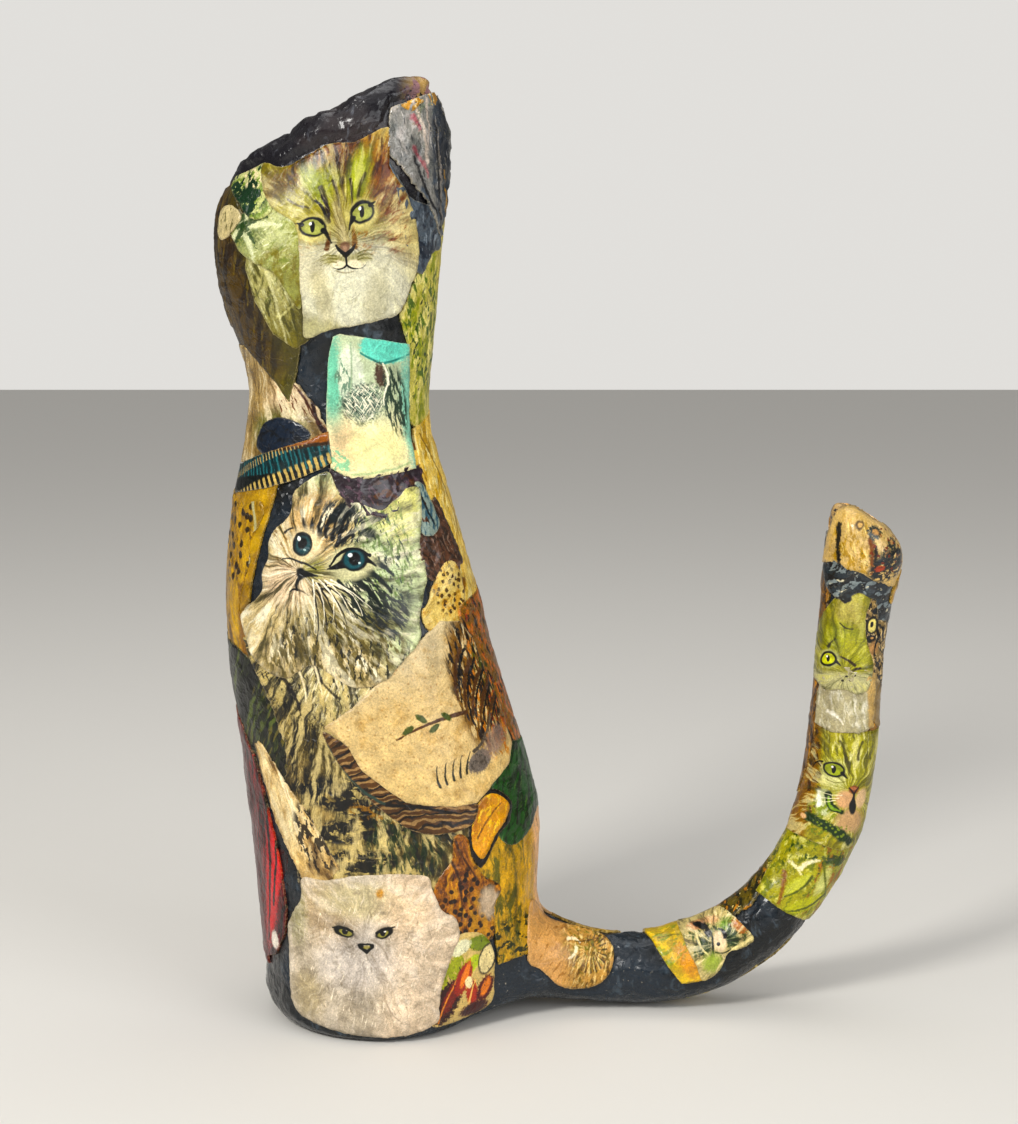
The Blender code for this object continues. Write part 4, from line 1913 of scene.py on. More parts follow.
    LEAVES = Print("e0cd9c", (
        Blotch((-8, 6), (8, 12), "a9b43e", (3, 5), 0.42, 0.08, 20, 0.9),
        Oval((5, 12), (5, 2.8), "94a432", -10, 0.15, 0.6),
        Oval((-3, 11.5), (4.4, 2.6), "f0f0d8", 24, 0.15, 0.6),
        Oval((2, 4.5), (4.6, 2.6), "cddc62", 38, 0.2, 0.6), Oval((8.8, 5.6), (3.8, 6), "1f1d14", -12, 0.1),
        Oval((8.7, 5.6), (3.2, 5.4), "efe3bb", -12, 0.1, 0.3),
        Oval((-7, -8), (4.8, 8.6), "4a130e", -24, 0.15, 1),
        Oval((-5.4, -6), (2.4, 6.8), "8f3018", -24, 0.2, 1),
        Line((-10, -15), (-3, 1), "e3a878", 0.4, 0.25, 0.5, 0.2),
        Oval((-0.8, 0), (2.8, 6.4), "b43c1a", -18, 0.15, 0.8),
        Oval((-0.2, 1), (1.3, 4.8), "ee9a50", -18, 0.2, 0.6),
        Oval((3.4, -6.4), (2.5, 5.4), "c44a22", 14, 0.15, 0.8),
        Line((2.4, -11), (4.4, -1.4), "f6d09a", 0.5, 0.3, 0.4),
        Oval((8.8, -5.6), (3.2, 5.2), "6f1812", -20, 0.15, 0.8),
        Oval((9, -5), (1.7, 3.6), "e9a06a", -20, 0.2, 0.5),
        Oval((5, -12.6), (6, 2.6), "5c1410", 8, 0.2, 0.8),
        Oval((1.6, -2), (1.5, 2.4), "f7edcb", 20, 0.15, 0.4),
        Blotch((2, -2), (14, 18), "2a1410", (1, 4), 0.62, 0.05, 20, 0.8),
    ), 0.25)


class NearSide:
    """The cut-outs of the side that faces the viewer, from the crown to the base."""

    @staticmethod
    def main_face() -> Print:
        """An olive and gold kitten's face with a wide pale ruff.

        Returns:
            The print.
        """
        dark, umber, brown = "0e0b07", "33200a", "6e3c10"
        olive = "8b8428"
        marks = (
            Wash((0, 5), "958b3a", soft=6, ragged=6), Oval((-27, 25), (8, 8), "8f8058", 30, 0.3, 1.5),
            Oval((-24, 19), (5, 4), "403a24", 30, 0.5, 1.5, 0.8),
            Oval((-17, 17), (11, 7), "aaa24a", 20, 0.5, 1), Oval((-2, 34), (17, 6), "8c5418", 12, 0.6, 1.5),
            Oval((-4, 27), (5, 9), "6f551c", -5, 0.6, 2, 0.8),
            Oval((12, 38), (6, 11), "b08a44", 10, 0.4, 0.6), Oval((13, 38), (4, 9), "cdb577", 10, 0.4, 1.0),
            Oval((16, 22), (9, 11), "9c662c", 20, 0.5, 1.8), Oval((21, 10), (8, 12), "d3c49a", 10, 0.5, 1),
            Fur("e6deb0", "4a3c14", (0, 4), 17, 9, 0.35, 3),
            Blotch((15, 22), (9, 12), "7c3f12", (2.2, 7), 0.46, 0.2, -25, 0.9),
            Blotch((16, 8), (9, 7), "8c4c1c", (2, 6), 0.48, 0.2, -60, 0.85),
            Blotch((-6, 31), (16, 10), "30200a", (2, 9), 0.46, 0.14, 10, 0.9),
            Blotch((-16, 20), (10, 8), "b9b45c", (1.6, 6), 0.55, 0.16, 45, 0.7),
            Blotch((5, 31), (12, 8), "54280c", (2, 8), 0.48, 0.14, -12, 0.9),
            Oval((-8, 24), (5, 7), "a5aa26", 18, 0.6, 1.6, 0.9),
            Oval((4.4, 25), (4, 8), "a3ac22", -8, 0.6, 1.6, 0.9),
            Oval((-12, 26), (3, 6), "98a032", 30, 0.5, 1.6, 0.8),
            Blotch((-13.5, 3), (6, 5), "a9763a", (1.2, 2.4), 0.48, 0.25, 50, 0.7),
            Blotch((6.5, 4), (5, 4), "a9732c", (1.4, 3), 0.46, 0.25, -40, 0.7),
            Line((-1, 3.4), (-3.2, 17), "a59a70", 2.3, 1.3, 0, 0.7, 1.5),
            Line((-0.6, 4), (-1.6, 9), "c9bf9a", 1.1, 0.6, 0, 0.6, 1, 0.8),
            Line((-6.4, 1.8), (-5.6, 7.4), brown, 0.9, 0.4, 0, 0.3, 1, 0.9),
            Line((2.8, 2.6), (2.2, 9), "8f6a24", 1, 0.4, 0, 0.4, 1),
            Line((-4.6, 24.5), (-2.4, 15.5), umber, 0.9, 0.4, 0.5, 0.4, 1.6, 0.9),
            Line((-1.2, 25), (0, 17), umber, 0.6, 0.3, -0.5, 0.4, 1.6, 0.8),
            Line((1.4, 24), (2, 15.5), umber, 0.5, 0.3, 0.2, 0.3, 1.4, 0.9),
            Line((6.4, 25), (4, 17.6), umber, 0.7, 0.4, -0.6, 0.4, 1.6, 0.8),
            Line((-8.6, 23), (-6.6, 15), umber, 0.8, 0.5, 0.6, 0.4, 1.6, 0.8),
            Line((-15, 24), (-11, 18), umber, 0.6, 0.3, 0.6, 0.5, 1.6, 0.5),
            Line((-10.6, 19), (-6.4, 11), dark, 0.4, 0.8, 0.9, 0.2, 0.8),
            Line((-8, 20), (-5.6, 11), umber, 0.5, 0.6, 0.5, 0.2, 1),
            Line((-16.5, 11.5), (-23.5, 14.5), umber, 0.4, 0.2, 0.5, 0.2, 1, 0.8),
            Line((-12, 16.4), (-20, 21), umber, 0.3, 0.5, 0.5, 0.3, 1.2, 0.6),
            Line((9.4, 17.4), (14, 20), brown, 0.4, 0.8, 0.2, 0.3, 1.2, 0.8),
            Fur("ece6c0", "33260c", (0, 4), 22, 7, 0.35, 2.5),
            Oval((-2, -14), (16, 9), "d9d8c6", 0, 0.5, 0.5, 0.75),
            Oval((12, -9), (10, 9), "e3e0cc", 0, 0.6, 0.5, 0.75),
            Oval((-14, -6), (6, 8), "d9d4bc", 0, 0.6, 0.5, 0.7),
            Blotch((0, -14), (22, 12), "a9a587", (2, 4), 0.54, 0.2, 0, 0.5),
            Blotch((2, -16), (22, 12), "eeeacb", (1.6, 5), 0.58, 0.15, 20, 0.5),
            Oval((-11.2, 9), (5.8, 4.8), "ddd49e", -14, 0.3, 0.5, 0.9),
            Oval((5.4, 12.6), (5.2, 4.7), "ddd49e", 16, 0.3, 0.5, 0.9),
            Eye((-11.2, 9.8), (3.8, 2.7), "a6a86c", -14, (0.2, 0.72), rim_width=0.85),
            Eye((5.3, 13.3), (3.4, 2.8), "a6a86c", 18, (0.24, 0.66), rim_width=0.85),
            Line((-7.8, 8.4), (-6, 6.6), dark, 0.8, 0.2, 0, 0.2),
            Line((2.4, 11.4), (1.2, 9.2), dark, 0.8, 0.2, 0, 0.2),
            Line((8, 15.2), (9.8, 16), dark, 0.6, 0.2, 0, 0.2),
            Line((-14.6, 11), (-16.4, 11.8), dark, 0.8, 0.2, 0, 0.2),
            Line((-15.4, 11.4), (-8, 10.6), dark, 0.3, 0.4, 1.9, 0.15),
            Line((9.4, 14.8), (2, 13.6), dark, 0.3, 0.4, -1.9, 0.15),
            Line((-7.4, 8.4), (-5, 3.8), dark, 0.8, 0.2, 0, 0.2, 0.5, 0.9),
            Line((1.8, 11.6), (1, 8), dark, 0.6, 0.2, 0, 0.2, 0.5, 0.9),
            Line((-0.5, 2.2), (-0.3, 0.4), "8b7160", 1.7, 0.6, 0, 0.4, 0.5, 0.95),
            Line((-0.6, 2), (-0.4, 0.8), "b59c88", 0.8, 0.3, 0, 0.5, 0.5, 0.7),
            Line((-3.4, 2.8), (-0.3, -0.3), dark, 0.34, 0.8, -0.25, 0.15),
            Line((2.9, 3), (-0.3, -0.3), dark, 0.3, 1, 0.25, 0.15),
            Line((-2.8, 3), (2.4, 3.3), "6a4a2c", 0.3, 0.7, 0.3, 0.5, 0.6, 0.5),
            Oval((-4, -2), (3.8, 1.8), olive, 0, 0.5, 1, 0.6),
            Oval((4.4, -1.2), (4, 1.8), olive, 8, 0.5, 1, 0.5),
            Oval((-2.6, -3.4), (2.4, 1.3), "eee6cc", soft=0.3),
            Oval((2.8, -3.2), (2.6, 1.4), "eee6cc", soft=0.3),
            Line((-0.1, -0.5), (0, -3.4), dark, 0.4, 0.4, 0, 0.12),
            Line((0, -3.4), (-4.4, -4.6), dark, 0.42, 0.12, 0.9, 0.15, 0.3),
            Line((0, -3.4), (3.6, -4.6), dark, 0.42, 0.2, -0.6, 0.15, 0.3),
            Line((3.6, -4.6), (6.6, -2.8), dark, 0.2, 0.1, -0.6, 0.15, 0.3, 0.6),
            Line((-3.4, -5.6), (2.2, -5.6), "7a6f4c", 0.25, 0.15, -0.5, 0.3, 0.3, 0.7),
            *(
                Line((-3.4, -0.6 - k), (-8.6, -0.8 - k * 1.5), "77722a", 0.22, 0.1, -0.3, 0.2)
                for k in range(3)
            ),
            *(Line((3.8, 0.2 - k), (8.6, 1.4 - k * 1.4), "77722a", 0.22, 0.1, 0.3, 0.2) for k in range(3)),
            Wash((0, -24.5), "a9a57c", 170, 3, 6, 0.7), Wash((24, 0), "e4d89a", -90, 4, 5, 0.35),
            Oval((-8, -14), (3, 10), "b9b08a", 10, 0.6, 1, 0.5),
            Oval((10, -14), (4, 10), "c6c0a0", -10, 0.6, 1, 0.5),
        )
        return Print("dcd9c6", marks, 0.14, 0.05, 0.2)

    @staticmethod
    def head() -> tuple[Paper, ...]:
        """The crumpled ear, the leaves in front and the face.

        Returns:
            The papers, in the order in which they are glued on.
        """
        green, cream = "264a30", "e6dfc0"
        slate = Print("6c7680", (
            Blotch((0, 0), (16, 20), "3a4452", (5, 8), 0.48),
            Blotch((2, 4), (12, 14), "9aa3ac", (2, 7), 0.58, 0.05),
        ), 0.5, 0.2, 0.8)
        bits = Print("caa25c", (Blotch((0, 0), (6, 4), "efe0bd", (1.4, 1), 0.5, 0.05),), 0.5)
        fan = [(math.cos(k * 1.26), math.sin(k * 1.26)) for k in range(5)]
        white_leaf = Print("a5a870", (
            Oval((1, 2), (12, 9), "c9cea6", 20, 0.6, 2), Oval((-8, 6), (8, 9), "5c7040", 20, 0.5, 2, 0.8),
            Blotch((6, 0), (12, 12), "8a9654", (2, 7), 0.52, 0.16, -50, 0.8),
            *(Line((-8, 4), (15 * x - 8, 13 * y + 4), "dfe4c8", 2, 0.3, 0.6, 0.6, 2, 0.9) for x, y in fan),
            *(Line((-8, 4), (10 * y - 8, 9 * x + 4), "3f5a34", 1.5, 0.2, 0.6, 0.4, 2, 0.9) for x, y in fan),
            Blotch((2, 0), (14, 12), "eceed6", (1.2, 6), 0.57, 0.12, -60, 0.85),
            Blotch((8, -16), (14, 14), "8c8440", (3, 6), 0.42, 0.24, -20, 0.95),
            Wash((8, 6), "a3a85c", -60, 2, 3, 0.6),
        ))
        leaves = Print("c9cf9f", (
            Blotch((0, 0), (16, 16), "8ea05e", (4, 4), 0.5),
            Blotch((-1, -2), (12, 12), green, (4.2, 4.2), 0.5, 0.04),
            Oval((-4, -5), (4.5, 3.4), green, 30, 0.15, 1.2),
            Oval((1, -1), (3.6, 4.6), green, -20, 0.15, 1.2),
            Oval((2.5, -9), (3, 3.6), "2c4f38", 10, 0.15, 1.2),
            Blotch((2, 6), (8, 6), cream, (2.4, 2.4), 0.5, 0.05),
        ))
        petal = Print("cfc6a6", (Blotch((0, 0), (8, 8), "8f8a68", (2, 4), 0.54),))
        return (
            Paper("slate_ear", slate, (
                (18, 296), (28, 281), (38, 277), (44, 272), (47, 266), (40, 264), (34, 259), (28, 264),
                (24, 280),
            ), (34, 268), wrinkles=0.5),
            Paper("grey_ear", Stock.GREY, (
                (22.5, 312), (34, 312), (50, 311), (56, 300), (56, 286), (52, 276), (46, 268), (38, 277),
                (30, 284), (20.5, 294), (20, 302),
            ), (38, 290), Cut.TORN, wrinkles=0.7),
            Paper("gold_bits", bits, (
                (23, 308), (42, 308), (44, 305), (39, 304), (34, 306), (29, 304.4), (26, 306),
            ), (34, 307), Cut.TORN),
            Paper("olive_front", Stock.OLIVE, (
                (-78, 302), (-60, 304), (-42, 307), (-34, 292), (-26, 280), (-12, 262), (-9, 246),
                (-10.5, 237), (-11.5, 230), (-14.5, 219), (-20, 225.5), (-29, 233), (-38, 240), (-50, 246),
                (-78, 258),
            ), (-30, 265), Cut.STRAIGHT, wrinkles=0.3),
            Paper("fern_paper", Stock.FERN, (
                (-30, 282), (-10, 280), (-8, 250), (-7, 240), (-12, 237), (-20, 242), (-27, 254),
                (-31, 268),
            ), (-19, 262), Cut.STRAIGHT),
            Paper("white_leaf", white_leaf, (
                (-40, 290), (-30, 292), (-20, 291), (-9, 283), (-8.6, 262), (-10, 251), (-14, 256),
                (-19, 264), (-26, 269), (-33, 275), (-38, 283),
            ), (-24, 279)),
            Paper("petal", petal, (
                (-47, 297), (-40, 297), (-34, 291), (-37, 286), (-44, 283), (-49, 289),
            ), (-41, 290)),
            Paper("round_leaf", leaves, (
                (-43, 306), (-38, 312), (-29, 312), (-26, 305), (-25, 298), (-21, 289), (-26, 287),
                (-31, 290), (-36, 297),
            ), (-33, 301)),
        )

    @classmethod
    def face(cls) -> tuple[Paper, ...]:
        """The face, glued on last.

        Returns:
            The papers, in the order in which they are glued on.
        """
        outline = (
            (-27, 307.5), (-18, 303.4), (-10, 303.6), (-1, 304.5), (8, 301.8), (20, 302), (20.3, 291),
            (26, 283), (30, 276), (32, 270), (32.3, 263), (30, 257.4), (24.5, 248.4), (17, 246.2),
            (8, 244.6), (0, 243.5), (-8.3, 241), (-9, 250.5), (-10, 260), (-10.3, 270), (-12.2, 281),
            (-20, 288.7), (-25, 297),
        )
        return (Paper("main_face", cls.main_face(), outline, (5.3, 267.6), wrinkles=0.12),)

    @staticmethod
    def neck() -> tuple[Paper, ...]:
        """The mint card, the knitted collar and what lies round them.

        Returns:
            The papers, in the order in which they are glued on.
        """
        fur = Print("b3a079", (
            Oval((6, 3), (12, 11), "decfb8", 20, 0.5, 1), Oval((-2, -6), (12, 6), "6f7440", 10, 0.6, 1),
            Fur("efe6d0", "6a5630", (-14, 40), 22, 8, 0.75, 3),
            Blotch((8, 2), (10, 14), "7a4a2c", (1.2, 6), 0.56, 0.06, 30, 0.9),
            Line((12, 4), (16, -7), "3c1a0e", 0.5, 0.9, -0.8, 0.3, 1.2),
            Line((4, 10), (14, -4), "5a2c14", 0.3, 0.5, 0.8, 0.3, 1),
        ))
        blue = Print("26364a", (Blotch((0, 0), (20, 10), "14202e", (4, 2.4), 0.5),), 0.5)
        collar = Print("1d474b", (
            Stripes((0, 0), (60, 30), "4b858c", 1.7, 104, 0, 1.6, 0, 1.5, 0.8),
            Stripes((0, 0), (60, 30), "08262b", 3.1, 112, 0, 2, 0.3, 2, 0.8),
            Wash((0, 5), "4d3a26", 9, 0.3, 0.6),
            Stripes((0, 5.2), (1.3, 70), "c9b58a", 1.5, 112, 0, 0.6, 0.3, 1.5, 0.85),
            Wash((0, 6.2), "a06a2a", 9, 0.3, 0.8), Wash((0, -2.2), "10211f", 189, 0.3, 0.5),
            Stripes((0, -5), (3.4, 80), "cbb987", 2.3, 112, 0, 0.8, -0.15, 1, 1),
            Wash((0, -7.4), "16110c", 189, 0.3, 0.5),
        ), 0.1, 0.3, 0.1)
        white, moss = "f4f1df", "2f4a3c"
        card = Print("ece6c4", (
            Wash((0, -2), "c8d3b8", 0, 7, 6, 0.9), Oval((-13.5, 10), (3.2, 16), "86c6b0", 2, 0.5, 1.5, 0.9),
            Oval((-7.4, 10), (4.4, 11), "e2e8d6", 4, 0.15, 0.6),
            Blotch((-10, 9), (3, 9), "7f9c88", (1.4, 4), 0.5, 0.06, 6, 0.9),
            Line((-7.4, 22), (-8, 0), "b8c6ae", 0.3, 0.4, 0.4, 0.2),
            Oval((5, 20), (9.5, 5), "8cd8c8", -6, 0.12, 0.4),
            Line((-4, 18.6), (3.6, 15), "4a9a90", 0.3, 0.4, -0.4, 0.2),
            Line((3.6, 15), (14.5, 18), "4a9a90", 0.4, 0.3, -0.4, 0.2),
            Oval((2.6, 11), (1.9, 4.2), "5a3a26", 8, 0.4, 2, 0.95),
            Oval((14, -2), (3.2, 20), "9ccfbe", 3, 0.5, 1.5, 0.9),
            Blotch((8.4, 2), (5, 13), moss, (1.5, 6), 0.44, 0.08, 10, 0.95),
            Oval((-3.6, 1.6), (7, 5.6), "6f8577", 0, 0.4, 2, 0.9),
            Blotch((-3.6, 1.6), (8, 7), moss, (1.4, 3.4), 0.5, 0.08, 50, 0.9),
            Blotch((-4, 2), (7, 6), white, (0.7, 4), 0.52, 0.06, 40, 0.9),
            Blotch((-2, 2), (7, 7), white, (0.6, 4), 0.54, 0.06, -35, 0.9),
            Line((3.6, 15), (5.6, 8), white, 0.3, 0.5, 0.6, 0.15),
            Line((5.6, 8), (4, 1), white, 0.4, 0.2, -0.7, 0.15),
            Oval((-11, -12), (4.5, 9), "ddb897", 0, 0.6, 1.5, 0.45),
            Oval((1, -14), (9, 8), "f3ecb8", 0, 0.5, 1, 0.7),
            Blotch((-13, -18), (4, 5), "9cc9a8", (2, 2), 0.45, 0.08, 0, 0.9),
            Line((-9, -22), (12, -19), "b9c9a0", 0.5, 0.4, -0.8, 0.4, 1, 0.8),
        ), 0.15, 0.1, 0.2)
        return (
            Paper("neck_fur", fur, (
                (-50, 236), (-34, 237), (-22, 234), (-13, 226), (-4, 217), (-1, 206), (-20, 199),
                (-38, 197), (-52, 198), (-54, 216),
            ), (-18, 216), Cut.TORN),
            Paper("blue_wedge", blue, (
                (-30, 203), (-27, 210), (-20, 213.5), (-12, 212.5), (-7, 208), (-14, 203), (-22, 200),
            ), (-18, 207)),
            Paper("plum_paper", Stock.PLUM, (
                (-2, 197), (6, 194), (18, 195), (31, 197), (34, 186), (30, 178), (15, 180), (4, 184),
            ), (15, 189), Cut.TORN, wrinkles=0.6),
            Paper("mint_card", card, (
                (3, 242), (16, 240), (28.5, 238), (29, 220), (29.6, 195.8), (18, 194.4), (6.3, 193),
                (-1, 197.2), (-1.4, 213.6), (-0.8, 234), (0.8, 241),
            ), (14.5, 217), Cut.STRAIGHT, wrinkles=0.12),
            Paper("knitted_collar", collar, (
                (-76, 194), (-60, 194), (-42, 196.5), (-30, 200), (-18, 203.5), (-8, 206.5), (-1, 209.5),
                (-0.5, 199), (-4, 197), (-14, 193), (-26, 189.5), (-40, 187), (-60, 184.5), (-76, 184),
            ), (-18, 197.6), Cut.STRAIGHT, wrinkles=0.1),
        )

    @staticmethod
    def big_kitten() -> Print:
        """A pale kitten's face that looks to the front, with dark eyes and fanned whiskers.

        Returns:
            The print.
        """
        dark, blue, pine, glint = "0f1416", "1c2b33", "1b2c26", "f2f6f6"
        marks = (
            Wash((2, 0), "cfd7b4", -62, 8, 6), Oval((-2, 14), (13, 12), "d6bd94", 20, 0.5, 1),
            Oval((-14, -7), (9, 8), "dccab2", 0, 0.5, 0.8),
            Oval((25, 17), (7.5, 13), "e2e0a2", -12, 0.4, 0.8),
            Oval((20, -5), (9, 14), "cfdab8", 10, 0.5, 1),
            Oval((-4, -1), (3.6, 4.2), "a3a45c", 10, 0.6, 1, 0.8),
            Oval((8, -20), (18, 6), "8d8450", 0, 0.6, 1, 0.8),
            Fur("f4efdc", "4c4826", (-9, -2), 14, 8, 0.85, 3),
            Blotch((0, -30), (28, 12), "6f6436", (2.2, 6), 0.46, 0.08, 6, 0.85),
            Blotch((4, -28), (26, 11), "1d2118", (1.8, 5), 0.55, 0.06, -12, 0.9),
            Blotch((20, 6), (10, 22), "6f8a44", (1.5, 5), 0.52, 0.06, 14, 0.75),
            Blotch((16, 2), (13, 22), "2a473c", (1.3, 4.5), 0.57, 0.05, 20, 0.9),
            Blotch((14, -12), (9, 10), pine, (1.5, 7), 0.46, 0.05, 40, 0.95),
            Blotch((22, -18), (8, 6), blue, (1.6, 6), 0.44, 0.1, 50, 0.9),
            Blotch((-12, 8), (9, 10), "8a6a34", (1.6, 3), 0.55, 0.08, 30, 0.7),
            Blotch((5, 14), (9, 8), blue, (1.4, 5), 0.46, 0.08, -24, 0.95),
            Oval((4.7, 16.8), (3.4, 2.8), blue, 20, 0.3, 2.5, 0.95),
            Oval((8.2, 18.5), (2.6, 4), blue, -10, 0.3, 2.5, 0.95),
            Oval((14.5, 10.5), (3, 1.8), pine, -10, 0.3, 2, 0.9),
            Oval((17, 15.5), (2.6, 1.4), pine, 20, 0.3, 2, 0.85),
            Fur("f4efdc", "2c2c1c", (-9, -2), 16, 8, 0.45, 3),
            *(
                Line(
                    (-6.4 + k * 2.2, 11.6 - k * 0.7), (-7.4 + k * 3, 15.4 + k * 0.4), dark, 0.7, 0.3, 0.4,
                    0.3, 1.4,
                )
                for k in range(6)
            ),
            Line((3.8, 6.6), (9.4, 10.4), dark, 0.8, 0.4, 0.4, 0.3, 1.4),
            Line((15.6, 1.6), (23, -4), pine, 0.9, 0.4, 0.6, 0.3, 1.4),
            Line((14, -1.6), (22.4, -9.6), pine, 1.1, 0.5, 0.6, 0.3, 1.6),
            Line((10, -4.4), (19, -14), pine, 1, 0.6, 0.6, 0.3, 1.6),
            Line((4.6, -5.4), (13, -17), pine, 0.7, 0.7, 0.6, 0.3, 1.6),
            Line((-14, 10.5), (-11.4, 12), dark, 0.5, 0.3, 0.3, 0.3, 1),
            Oval((-7, 6.6), (5.4, 5.6), "e6d9bc", -15, 0.3, 0.8, 0.9),
            Oval((9, 0.6), (7.6, 5.2), "dcd9b8", 4, 0.3, 0.8, 0.9),
            Oval((-7.8, 6.9), (3.5, 4.2), dark, -12, 0.08),
            Oval((-7.6, 6.5), (2.6, 3.2), "3f666c", -12, 0.25, 0, 0.9),
            Oval((-7.8, 7.1), (1.5, 2.1), dark, -12, 0.2), Oval((-9, 8.7), (0.6, 0.8), glint),
            Oval((-7, 4.8), (0.5, 0.35), "b9cfd0"), Line((6.8, 0.7), (1, -1.4), dark, 1.8, 0.2, 0.2, 0.2),
            Line((1.8, -0.4), (14.8, 3), dark, 0.5, 0.7, 3.9, 0.15),
            Line((13.4, 1.6), (17, -0.4), dark, 1, 0.3, 0.2, 0.2),
            Oval((10, 1.8), (4.5, 3.9), dark, 6, 0.08), Oval((9.7, 1.8), (3.5, 3.1), "3a6c74", 6, 0.2),
            Oval((9.9, 2.1), (2, 2.2), dark, 0, 0.2), Oval((8.4, 3.3), (0.8, 0.65), glint),
            Oval((11.6, 0.7), (0.5, 0.4), "d5e2e2"), Line((-15, 1.6), (-8, 0.6), dark, 0.25, 0.4, 0.5, 0.2),
            Line((-8, 0.6), (-3, -1.6), dark, 0.45, 0.25, 0.2, 0.2),
            Oval((-8.2, -3), (1.7, 2.1), dark, 15, 0.25, 0.4),
            Line((-6.6, -3.2), (-2.6, -3.6), dark, 1.1, 0.3, 0, 0.3, 0.8),
            Line((-8.8, -4.8), (-9.4, -8.6), dark, 0.8, 0.5, -0.6, 0.2),
            Line((-9.4, -8.6), (-12.2, -9.4), dark, 0.5, 0.2, -0.4, 0.2),
            Line((-9.4, -8.6), (-5.6, -10.4), dark, 0.35, 0.1, 0.2, 0.2, 0.4, 0.7),
            *(Oval((-2.2 + k * 1.3, -6.6 - (k % 2) * 1.6), (0.55, 0.6), dark, 0, 0.2) for k in range(4)),
            *(
                Line(
                    (-4 + k * 1.3, -9 + k * 0.4), (-4 + k * 3.6, -25 + k * 1.7), "211d10", 0.35, 0.15, 1.5,
                    0.15,
                )
                for k in range(6)
            ),
            *(
                Line(
                    (-4 + k, -5 - k % 2), (k * 3.4 - 4.6, k * 5 % 4 + k - 23), "f7f2e2", 0.26, 0.1,
                    0.8 + k % 3, 0.15,
                )
                for k in range(7)
            ),
        )
        return Print("d2c39e", marks, 0.25, 0.2, 0.3)

    @staticmethod
    def chest() -> tuple[Paper, ...]:
        """The big kitten and the papers round it.

        Returns:
            The papers, in the order in which they are glued on.
        """
        brown = Print("75594a", (
            Blotch((0, 0), (20, 20), "4d3a2e", (2.5, 4), 0.48, 0.06, 30),
            Blotch((0, 0), (20, 20), "a38f84", (1.4, 5), 0.58, 0.05, 20, 0.8),
        ), 0.5)
        streak = Print("aab9b4", (
            Blotch((0, 0), (10, 14), "5d7d8c", (1.6, 5), 0.5, 0.06),
            Line((-3, 8), (3, -6), "23323a", 0.6, 0.3, 0, 0.3, 1),
        ))
        freckled = Print("ead79c", (
            Blotch((0, 0), (14, 18), "d9b878", (4, 6), 0.5, 0.1),
            Spots((3, 2), (8, 10), "4a2f12", 2.6, 0.22, 20),
            Fur("f7ecc4", "b08c48", (-20, -10), 16, 8, 0.5),
        ))
        return (
            Paper("gold_back", Stock.GOLD, (
                (31, 209), (40, 212), (62, 216), (80, 214), (80, 150), (66, 148), (48, 143), (47, 150),
                (50, 158), (48, 165), (45, 173), (41, 181), (36, 188), (31.5, 197),
            ), (48, 180), Cut.STRAIGHT),
            Paper("brown_rumple", brown, (
                (27, 183), (38, 185), (42, 179), (46, 171), (49, 163), (44, 158), (38, 157), (30, 160),
                (27, 172),
            ), (37, 172), Cut.TORN, wrinkles=0.6),
            Paper("pale_streak", streak, (
                (28, 190), (32, 190), (36, 182), (38, 176), (33, 173), (28.5, 176),
            ), (32, 182)),
            Paper("freckled_ear", freckled, (
                (30, 151), (33, 157), (38, 163.5), (44, 162.5), (46.5, 156), (46.5, 149), (44, 141),
                (36, 138), (28, 142), (27, 148),
            ), (37, 152)),
            Paper("spotted_cub", Stock.CUB, (
                (-84, 188), (-66, 188), (-50, 185.5), (-40, 182), (-33, 184.3), (-28, 185), (-26.5, 181.5),
                (-29.4, 176.5), (-33.5, 172), (-34.5, 163.5), (-38, 157), (-42, 147), (-37, 136),
                (-36, 126), (-60, 122), (-84, 124),
            ), (-42, 160)),
            Paper("grass_paper", Stock.GRASS, (
                (-80, 136), (-60, 136), (-44, 133), (-36, 128), (-28, 118), (-20, 108), (-16, 98),
                (-28, 88), (-40, 92), (-50, 99), (-64, 106), (-80, 110),
            ), (-40, 114), Cut.TORN),
        )

